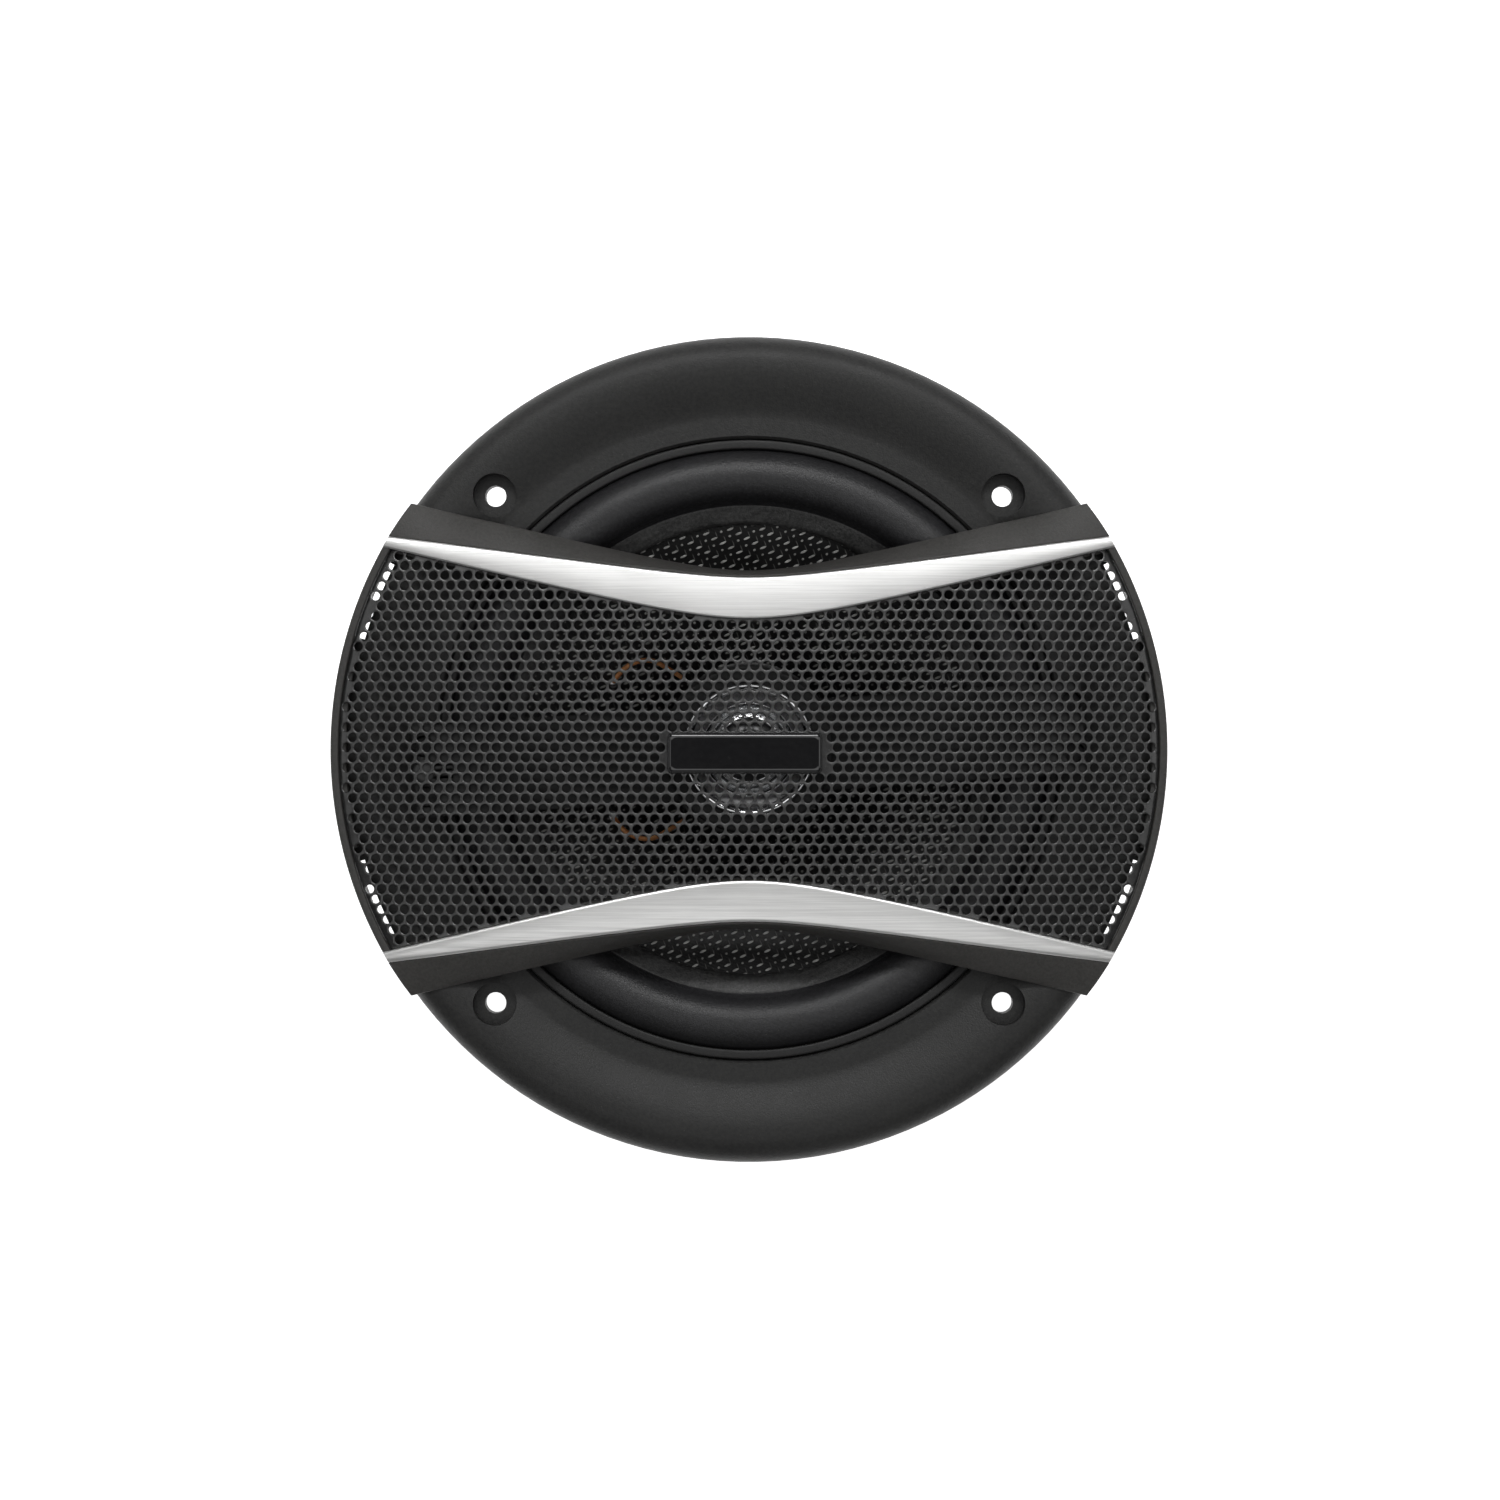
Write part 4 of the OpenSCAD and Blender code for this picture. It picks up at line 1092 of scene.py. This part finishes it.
        n, m = len(keys), len(holes) * sides
        points = np.concatenate([
            level(x, y, 0.0), level(x, y, self.sheet_t),
            *(level(c[..., 0].ravel(), c[..., 1].ravel(), d)
              for c, d in ((circles[0], 0.0), (circles[1], self.hole_roll), (circles[1], self.sheet_t)))])
        own = np.arange(len(holes))[:, None, None] * sides
        k = np.arange(6)[None, :, None]
        fan = (2 * k + np.array([3, 2, 1])[None, None]) % sides + own
        edge = np.stack([index[open_cell], np.roll(index[open_cell], -1, 1)], -1)
        front = np.concatenate([edge, fan + 2 * n], -1).reshape(-1, 5)
        back = np.concatenate([edge + n, fan + 2 * n + 2 * m], -1).reshape(-1, 5)[:, ::-1]
        solid = index[~open_cell]
        ring = own[:, 0]
        first, after = (ring + t).ravel() + 2 * n, (ring + (t + 1) % sides).ravel() + 2 * n
        walls = np.concatenate([
            np.stack([first + d, after + d, after + d + m, first + d + m], -1) for d in (0, m)])
        spans = np.stack([index, np.roll(index, -1, 1)], -1).reshape(-1, 2)
        _, back_way, times = np.unique(np.sort(spans, 1), axis=0, return_inverse=True, return_counts=True)
        lone = spans[times[back_way.ravel()] == 1]
        border = np.stack([lone[:, 1], lone[:, 0], lone[:, 0] + n, lone[:, 1] + n], -1)
        skin = Skin().add(points, [front, back, solid, solid[:, ::-1] + n, walls, border])
        make_piece("perforated_sheet", skin, "mesh_steel", CHASSIS, ["grille_mesh"], crease=60)

    def make_badge(self) -> None:
        """Plain badge: rounded rectangles drawn in by d, at height z(d), which rises like a quarter ellipse
        over the first millimetre and then as a shallow crown."""
        d = np.concatenate([[0.0, 0.0, 0.0, 0.0], np.linspace(0.02, 1.0, 10), np.linspace(1.3, 4.05, 7)])
        rise = np.sqrt(1 - (1 - np.clip(d / 1.0, 0, 1)) ** 2)
        top = self.crown + 0.08 + 0.93 * rise + 0.05 * (1 - (1 - np.clip((d - 1.0) / 3.05, 0, 1)) ** 2)
        z = np.where(np.arange(len(d)) < 4, [15.82, 15.9, 16.2, 16.58] + [0] * (len(d) - 4), top)
        inset = d.copy()
        inset[0] = 0.25
        length, width = (size - 2 * inset for size in self.badge_size)
        corner = np.minimum(0.95, width / 2)
        q = np.repeat(np.arange(4), 7)
        a = np.radians(q * 90 + np.tile(np.linspace(0, 90, 7), 4))
        sx, sy = np.where((q == 0) | (q == 3), 1, -1), np.where(q < 2, 1, -1)
        x = sx * (length / 2 - corner)[:, None] + corner[:, None] * np.cos(a)
        y = sy * (width / 2 - corner)[:, None] + corner[:, None] * np.sin(a)
        rings = np.stack([x + self.badge_at[0], y + self.badge_at[1], z[:, None] + 0 * x], -1)
        skin = Skin().grid(rings, wrap_cols=True, caps=True)
        make_piece("plain_badge", skin, "badge_gloss", CHASSIS, ["badge"], crease=60)

    def make(self) -> None:
        """Makes the whole bar."""
        self.make_frame()
        self.make_trims()
        self.make_sheet()
        self.make_badge()


def flange_z(r: Array) -> Array:
    """Height of the flange's front: 4 + 3 ease(((r - 66) / 10.5)^0.8) up to the crest at 76.5, and then the
    ellipse 2.4 + 4.6 sqrt(1 - ((r - 76.5) / 6)^2) down to the rim."""
    rise = 4 + 3 * ease(np.clip((r - 66) / 10.5, 0, 1) ** 0.8)
    fall = 2.4 + 4.6 * np.sqrt(np.clip(1 - ((r - 76.5) / 6) ** 2, 0, 1))
    return np.where(r < 76.5, rise, fall)


# --------------------------------------------------------------------------- cone, surround, spider


@dataclass
class Diaphragm:
    """The cone and what carries it: surround, gasket, spider, dust cap, coil and leads."""

    cone_r: float = 48.9
    neck_r: float = 12.7
    neck_z: float = -16.5
    rim_z: float = 1.1
    cone_t: float = 0.6
    lip_r: float = 45.4
    roll_r: float = 54.65
    roll_half: float = 5.15
    roll_h: float = 4.8
    roll_base: float = 2.4
    roll_t: float = 0.6
    cap_r: float = 17.0
    spider_z: float = -16.78
    spider_rim: float = 33.6
    wave_r: tuple[float, float] = (14.3, 30.8)
    lead_end: tuple[float, float] = (-27.6, 13.6)
    lead_places: tuple[tuple[float, float, float], ...] = (
        (-13.2, 14.4, 0.75), (-16.4, 16.4, 1.2), (-19.6, 18.0, 1.8), (-22.6, 17.8, 1.9), (-25.2, 16.4, 1.5),
        (-27.6, 13.6, 0.8))
    tinsel_places: tuple[tuple[float, float, float], ...] = (
        (-27.6, 13.6, -10.6), (-28.9, 13.6, -12.4), (-32.4, 13.3, -13.4), (-37.0, 12.5, -12.9),
        (-41.8, 11.3, -11.9), (-46.0, 9.6, -11.1))

    def cone_z(self, r: Array) -> Array:
        """Back of the cone: neck + (rim - neck) ((r - neck r) / (cone r - neck r))^0.85."""
        t = np.clip((r - self.neck_r) / (self.cone_r - self.neck_r), 0, 1)
        return self.neck_z + (self.rim_z - self.neck_z) * t**0.85

    def make_cone(self) -> None:
        """Cone and dust cap, each a thin closed shell turned about Z."""
        r = self.neck_r + (self.cone_r - self.neck_r) * np.linspace(0, 1, 40) ** 1.2
        front, back = np.stack([r, self.cone_z(r) + self.cone_t], -1), np.stack([r, self.cone_z(r)], -1)
        make_turned("woven_cone", np.vstack([front, back[::-1]]), 240, "woven_cone", CONE_BODY, ["cone"])
        r = np.linspace(0, self.cap_r, 28)
        base = float(self.cone_z(np.array(self.cap_r))) + self.cone_t + 0.02
        dome = base + 5.0 * (1 - (r / self.cap_r) ** 2)
        cap = np.vstack([np.stack([r, dome + 0.5], -1), np.stack([r, dome], -1)[::-1]])
        make_turned("cloth_dust_cap", cap, 144, "dust_cap_cloth", CONE_BODY, ["dust_cap"])
        bead_a = np.linspace(0, TURN, 10, endpoint=False)
        bead = np.stack([self.cap_r + 0.35 + 0.75 * np.cos(bead_a), base + 0.15 + 0.45 * np.sin(bead_a)], -1)
        make_turned("cap_glue_bead", bead, 144, "glue_film", CONE_BODY, slot="dust_cap_cloth")

    def make_surround(self) -> None:
        """Half-roll surround between a flat outer lip and an inner lip that lies on the cone.

        The roll is (54.65 + a cos t, 2.4 + b sin t) for t from 0 to pi, and its ends ease into the lips.
        """
        t = np.linspace(0.0, np.pi, 40)
        foot = 0.35 * np.exp(-((np.minimum(t, np.pi - t) / 0.16) ** 2))

        def roll(less: float) -> Array:
            """Section of the roll, drawn in by `less`; the ends of its outer face stand 0.2 higher."""
            lift_ends = 0.2 if less == 0 else 0
            across = self.roll_r + (self.roll_half - less) * np.cos(t) + foot * np.sign(np.cos(t))
            up = self.roll_base + (self.roll_h - less) * np.sin(t) + lift_ends * (foot > 0.2)
            return np.stack([across, up], -1)

        lips = np.linspace(self.cone_r - 0.2, self.lip_r, 9)
        lift = lambda h: np.stack([lips, self.cone_z(lips) + self.cone_t + h], -1)
        profile = np.vstack([
            [(61.75, 2.02), (61.75, 2.5), (61.65, 2.6), (60.6, 2.6)], roll(0.0),
            lift(0.58), [(self.lip_r - 0.12, lift(0.3)[-1, 1])], lift(0.02)[::-1],
            roll(self.roll_t)[::-1], [(60.2, 2.02)]])
        ring = make_turned("half_roll_surround", profile, 240, "surround_rubber", "", ["surround"])
        blend_radially(ring, 59.6, 49.6)
        self.make_lip_film()
        gasket = outline([(59.95, 2.62, 0.1), (61.75, 2.62, 0.1), (61.75, 4.4, 0.45), (59.95, 4.4, 0.45)])
        make_turned("gasket_ring", gasket, 240, "gasket_board", CHASSIS, ["surround_gasket"])

    def make_lip_film(self) -> None:
        """Dried adhesive over the inner lip: a thin skin whose edges wander by a few waves."""
        a = np.linspace(0, TURN, 360, endpoint=False)[:, None]
        wander = 0.16 * np.sin(9 * a + 1.3) + 0.11 * np.sin(23 * a)
        wander = wander + 0.07 * np.sin(41 * a + 0.6) * np.sin(3 * a)
        s = np.linspace(0, 1, 13)[None, :]
        r = self.lip_r - 0.35 + wander + (49.1 - self.lip_r + 0.35 - wander) * s
        lift = 0.60 + 0.13 * np.sin(np.pi * s) ** 0.5 + 0.025 * np.sin(31 * a + 5 * s) * np.sin(np.pi * s)
        lift = np.where(r < self.lip_r - 0.05, 0.06 + 0.5 * ease((r - self.lip_r + 0.6) / 0.55), lift)
        z = self.cone_z(r) + self.cone_t
        top = np.stack([r * np.cos(a), r * np.sin(a), z + lift], -1)
        under = np.stack([r * np.cos(a), r * np.sin(a), z + 0.01 + 0 * a], -1)[:, ::-1]
        skin = Skin().grid(np.concatenate([top, under], 1), wrap_rows=True, wrap_cols=True)
        make_piece("lip_adhesive", skin, "glue_film", CONE_BODY, slot="surround_rubber")

    def make_spider(self) -> None:
        """Corrugated spider: z = base + 1.1 sin(9 pi s) between two flat collars, s from 0 to 1."""
        s = np.linspace(0, 1, 110)
        r = self.wave_r[0] + (self.wave_r[1] - self.wave_r[0]) * s
        wave = 1.1 * np.sin(9 * np.pi * s)
        base, rim = self.spider_z, self.spider_rim
        top = [(self.neck_r, base + 0.22)], np.stack([r, base + 0.5 + wave], -1), [(rim, base + 0.5)]
        low = [(rim, base)], np.stack([r, base + wave], -1)[::-1], [(self.neck_r, base)]
        ring = make_turned("corrugated_spider", np.vstack([*top, *low]), 180, "spider_cloth", "", ["spider"])
        blend_radially(ring, self.wave_r[1], self.wave_r[0])

    def make_leads(self) -> None:
        """Twisted copper leads on the cone, their solder, and the tinsel leads behind it."""
        x, y, lift = np.array(self.lead_places).T
        on_cone = np.stack([x, y, self.cone_z(np.hypot(x, y)) + self.cone_t + lift], -1)
        for side, name in ((1, "upper"), (-1, "lower")):
            flip = np.array([1, side, 1])
            lead = Skin().rope(spline(on_cone * flip, 12), 0.5, 7, 4.2 * side)
            make_piece(f"{name}_copper_lead", lead, "copper_lead", CONE_BODY, [f"{name}_coil_lead"])
            path = spline(np.array(self.tinsel_places) * flip, 12)
            braid = Skin().rope(path, 0.6, 8, 3.4 * side)
            tinsel = make_piece(f"{name}_tinsel_braid", braid, "tinsel_braid", "", [f"{name}_tinsel_lead"])
            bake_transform(tinsel)
            end_x, end_y = self.lead_end[0], self.lead_end[1] * side
            top = float(self.cone_z(np.hypot(end_x, end_y))) + self.cone_t - 0.2
            skin = solder_drop(1.25, top, 0.85, 0.2, 9, 28).move((end_x, end_y, 0))
            make_piece(f"{name}_solder_drop", skin, "solder", CONE_BODY, slot="eyelet_brass")

    def make(self) -> None:
        """Makes the diaphragm and dresses the coil's CAD nodes."""
        self.make_cone()
        self.make_surround()
        self.make_spider()
        self.make_leads()
        dress_nodes({"voice_coil_former": ("former_film", 0.0), "voice_coil": ("copper_winding", 0.05),
                     "lead_eyelets": ("eyelet_brass", 0.06)})


# --------------------------------------------------------------------------- tweeter


@dataclass
class Tweeter:
    """Small dome driver on its bridge, under the sheet."""

    turn: float = 3.9
    dome_r: float = 6.9
    tab_at: tuple[float, float] = (-57.5, 8.5)
    wire_places: tuple[tuple[float, float, float], ...] = (
        (-12.4, 0, 7.9), (-14.6, 0, 8.8), (-18, 0, 10.3), (-30, 0, 10.3), (-45, 0, 10.3), (-60, 0, 10.2),
        (-63.4, 0, 9.4), (-64.2, 0, 6.5), (-64.2, 0, 2), (-63, 0, -1.2), (-60.2, 0, -4))

    def make_face(self) -> None:
        """Chromed bezel, grained face ring and clamp ring, all turned about Z."""
        bezel = outline([(12.22, 9.86, 0.05), (12.98, 9.86, 0.05), (12.98, 13.75, 0.3), (12.62, 14.1, 0.3),
                         (11.95, 13.86, 0.6), (11.42, 13.45, 0.12), (11.36, 13.02, 0.06),
                         (12.22, 13.06, 0.05)], 6)
        make_turned("chrome_bezel", bezel, 160, "bezel_chrome", CHASSIS, ["tweeter_bezel"])
        plate = outline([(9.26, 9.86, 0.05), (12.16, 9.86, 0.05), (12.16, 12.98, 0.05), (11.62, 13.04, 0.2),
                         (9.9, 12.24, 0.3), (9.26, 11.9, 0.15)], 5)
        make_turned("grained_face_ring", plate, 160, "faceplate_grey", CHASSIS, ["tweeter_faceplate"])
        clamp = outline([(8.72, 9.86, 0.05), (9.2, 9.86, 0.05), (9.2, 12.12, 0.04), (9.1, 12.12, 0.04),
                         (8.72, 11.9, 0.08)], 5)
        make_turned("clamp_ring", clamp, 144, "bezel_chrome", CHASSIS, ["tweeter_clamp_ring"])

    def make_diaphragm(self) -> None:
        """Dome, z = 11.4 + 2.3 (1 - (r / 6.9)^2), and its small half-roll surround."""
        r = np.linspace(0, self.dome_r, 22)
        dome = 11.4 + 2.3 * (1 - (r / self.dome_r) ** 2)
        shell = np.vstack([np.stack([r, dome + 0.25], -1), [(7.05, 11.6), (7.2, 11.58), (7.2, 11.4)],
                           np.stack([r, dome], -1)[::-1]])
        make_turned("metal_dome", shell, 120, "dome_metal", DOME_BODY, ["tweeter_dome"])
        # painted highlight: the rim is the dome's own metal in a bright copy, while the dome gets a dark copy
        # as painted shade
        rim = outline([(6.25, 11.9, 0.04), (6.95, 11.62, 0.04), (7.22, 11.6, 0.04), (7.22, 11.72, 0.05),
                       (6.6, 12.0, 0.3), (6.25, 12.12, 0.05)], 4)
        make_turned("painted_highlight_dome_rim", rim, 120, "painted_highlight_dome_rim", DOME_BODY)
        t = np.linspace(0, np.pi, 16)
        mid, half = 7.965, 0.715
        arc = lambda w: np.stack([mid + w * np.cos(t), 11.5 + w * np.sin(t)], -1)
        roll = np.vstack([arc(half), arc(half - 0.15)[::-1]])
        ring = make_turned("dome_surround", roll, 120, "diaphragm_film", "", ["tweeter_surround"])
        blend_radially(ring, 8.55, 7.4)

    def make_wires(self) -> None:
        """Red and black wires: out of the housing, along the bridge's channel and down to the terminals."""
        tab_x, tab_y = self.tab_at
        for side, name in ((1, "red"), (-1, "black")):
            laid = turned(np.array(self.wire_places, float) + np.array([0, 0.65 * side, 0]), self.turn)
            end = [(-58.6, side * 5 - 2, -7.4), (-57.8, side * 7.4 - 0.6, -8.8), (tab_x, side * tab_y, -9.75)]
            path = spline(np.vstack([laid, end]), 8)
            wire = Skin().tube(path[:-5], 0.5, 14, (0, 1, 0))
            make_piece(f"{name}_tweeter_wire", wire, f"{name}_insulation", CHASSIS, ["tweeter_leads"])
            solder = solder_drop(1.05, -10.2, 0.75, 0.04, 8, 26)
            for kind, skin, finish in (
                    ("wire_end", Skin().rope(path[-7:], 0.34, 7, 3.0, (0, 1, 0)), "tinned_copper"),
                    ("wire_sleeve", Skin().tube(spline(laid[3:9], 8), 0.61, 12, (0, 1, 0)), "black_rubber"),
                    ("solder_joint", solder.move((tab_x, tab_y * side, 0), (1.25, 0.95, 1)), "solder")):
                make_piece(f"{name}_{kind}", skin, finish, CHASSIS, slot="lead_insulation")
        plug = outline([(0, 8.9, 0), (1.46, 8.9, 0.1), (1.46, 9.95, 0.02), (2.3, 9.95, 0.1),
                        (2.3, 10.3, 0.15), (1.8, 10.6, 0.2), (0, 10.7, 0)])
        skin = Skin().revolve(plug, 32).move(turned(np.array([-64.2, 0.0, 0.0]), self.turn))
        make_piece("wire_grommet", skin, "black_rubber", CHASSIS, slot="lead_insulation")

    def make(self) -> None:
        """Makes the tweeter and dresses its CAD nodes."""
        self.make_face()
        self.make_diaphragm()
        self.make_wires()
        dress_nodes({
            "tweeter_bridge": ("bridge_plastic", 0.25), "bridge_screws": ("blacked_screw", 0.12),
            "tweeter_housing": ("bridge_plastic", 0.12), "tweeter_coil": ("copper_winding", 0.0),
            "tweeter_pole_plate": ("plated_steel", 0.1), "tweeter_magnet": ("neodymium", 0.15),
            "tweeter_yoke": ("plated_steel", 0.15)})


# --------------------------------------------------------------------------- basket, motor, terminals


@dataclass
class Chassis:
    """Flange, basket, motor and terminals."""

    cap_at: tuple[float, float] = (-55.62, -12.9)
    cap_r: float = 2.6

    def make_capacitor(self) -> None:
        """Crossover capacitor: a sleeved can with a crimped neck, a seal at each end and one lead."""
        r = self.cap_r
        x, z = self.cap_at
        sleeve = outline([(1.9, -5.0, 0.05), (r - 0.12, -5.0, 0.3), (r, -4.6, 0.2), (r, 3.55, 0.3),
                          (r - 0.42, 4.0, 0.3), (r - 0.1, 4.5, 0.25), (r - 0.22, 5.0, 0.25),
                          (1.9, 5.0, 0.05)], 5)
        seal = outline([(0, -4.93, 0), (1.95, -4.93, 0.05), (1.95, 4.9, 0.05), (0.55, 4.9, 0.1),
                        (0, 4.75, 0)])
        for name, profile, finish in (("capacitor_sleeve", sleeve, "capacitor_sleeve"),
                                      ("capacitor_can", seal, "can_aluminium")):
            skin = Skin().revolve(profile, 56)
            p = skin.points[0]
            skin.points[0] = np.stack([p[:, 0] + x, p[:, 2], p[:, 1] + z], -1)
            make_piece(name, skin, finish, CHASSIS, ["crossover_capacitor"], slot="capacitor_sleeve")
        way = spline([(x, 4.8, z), (x, 6.0, z), (x, 7.0, z + 0.6), (x, 7.6, z + 1.6), (x, 8.2, -11.1)], 8)
        make_piece("capacitor_lead", Skin().tube(way, 0.3, 12, (1, 0, 0)), "tinned_copper", CHASSIS,
                   slot="capacitor_sleeve")

    def make(self) -> None:
        """Makes the capacitor and dresses the CAD nodes that stay."""
        self.make_capacitor()
        dress_nodes({
            "flange_ring": ("flange_plastic", 0.22), "basket": ("basket_paint", 0.2),
            "basket_screws": ("screw_steel", 0.1), "top_plate": ("plated_steel", 0.15),
            "magnet": ("ferrite", 0.25), "back_plate": ("plated_steel", 0.2),
            "basket_rivets": ("rivet_steel", 0.15), "terminal_board": ("board_laminate", 0.1),
            "positive_terminal": ("terminal_brass", 0.08), "negative_terminal": ("terminal_brass", 0.08),
            "terminal_rivets": ("rivet_steel", 0.12)})


# --------------------------------------------------------------------------- studio


@dataclass
class Studio:
    """Pale floor, soft light and the camera straight above."""

    camera_z: float = 0.600
    camera_at: tuple[float, float] = (0.0002, -0.0001)
    field: float = 0.300
    plane_z: float = 0.0024
    sensor: float = 36.0
    floor_half: float = 3.0
    floor_gap: float = 0.0002
    lights: tuple[tuple, ...] = (  # name, place, size, watts, point it looks at
        ("top_softbox", (0.0, 0.66, 0.72), (0.9, 0.14), 4.6, (0.0, 0.0, 0.0)),
        ("upper_strip", (0.0, 0.33, 0.98), (1.3, 0.44), 1.72, (0.0, 0.02, 0.0)),
        ("lower_strip", (0.0, -0.33, 0.98), (1.3, 0.44), 1.5, (0.0, -0.02, 0.0)),
        ("left_softbox", (-0.85, 0.15, 0.7), (0.6, 0.5), 0.55, (0.0, 0.0, 0.0)),
        ("right_softbox", (0.85, 0.1, 0.7), (0.6, 0.5), 0.7, (0.0, 0.0, 0.0)),
        ("low_fill", (0.0, -0.8, 0.5), (0.9, 0.3), 0.2, (0.0, 0.0, 0.0)))

    def add_camera(self) -> None:
        """Camera whose field is 300 mm at the flange's rim, X to the right and Y up."""
        data = bpy.data.cameras.new("camera")
        data.sensor_width = self.sensor
        data.lens = self.sensor * (self.camera_z - self.plane_z) / self.field
        camera = bpy.data.objects.new("camera", data)
        camera.location = (*self.camera_at, self.camera_z)
        bpy.context.scene.collection.objects.link(camera)
        bpy.context.scene.camera = camera

    def add_light(self, name: str, at: tuple[float, float, float], size: tuple[float, float], power: float,
                  aim: tuple[float, float, float]) -> None:
        """Soft rectangular light that looks at a point.

        Args:
            name: Its name.
            at: Its place in metres.
            size: Its width and height in metres.
            power: Its power in watts.
            aim: The point it looks at.
        """
        data = bpy.data.lights.new(name, "AREA")
        data.shape, data.size, data.size_y, data.energy = "RECTANGLE", *size, power
        light = bpy.data.objects.new(name, data)
        light.location = at
        light.rotation_euler = (Vector(aim) - Vector(at)).to_track_quat("-Z", "Y").to_euler()
        bpy.context.scene.collection.objects.link(light)

    def add_floor(self) -> None:
        """Wide pale floor just under the motor."""
        mesh = bpy.data.meshes.new("floor")
        far, z = self.floor_half, CAD_BOX[0].z - self.floor_gap
        corners = [(-far, -far, z), (far, -far, z), (far, far, z), (-far, far, z)]
        mesh.from_pydata(corners, [], [(0, 1, 2, 3)])
        floor = bpy.data.objects.new("floor", mesh)
        bpy.context.scene.collection.objects.link(floor)
        material = bpy.data.materials.new("pale_floor")
        material.use_nodes = True
        shader = material.node_tree.nodes["Principled BSDF"]
        shader.inputs["Base Color"].default_value = (0.93, 0.93, 0.93, 1)
        shader.inputs["Roughness"].default_value = 0.9
        shader.inputs["Emission Color"].default_value = (1, 1, 1, 1)
        shader.inputs["Emission Strength"].default_value = 0.95
        mesh.materials.append(material)

    def add_sky(self) -> None:
        """Even grey surround light."""
        world = bpy.data.worlds.new("surround light")
        world.use_nodes = True
        world.node_tree.nodes["Background"].inputs[0].default_value = (1.0, 0.99, 0.98, 1)
        world.node_tree.nodes["Background"].inputs[1].default_value = 0.08
        bpy.context.scene.world = world

    def make(self) -> None:
        """Sets the studio up."""
        self.add_camera()
        self.add_floor()
        self.add_sky()
        for row in self.lights:
            self.add_light(*row)
        bpy.context.scene.view_settings.view_transform = "Standard"


def main() -> None:
    """Builds every part of the speaker."""
    logging.basicConfig(level=logging.INFO, format="%(name)s: %(message)s")
    for part in (Studio(), GrilleBar(), Diaphragm(), Tweeter(), Chassis()):
        LOG.info("building %s", type(part).__name__)
        part.make()
    bpy.context.view_layer.update()


if __name__ == "__main__":
    main()
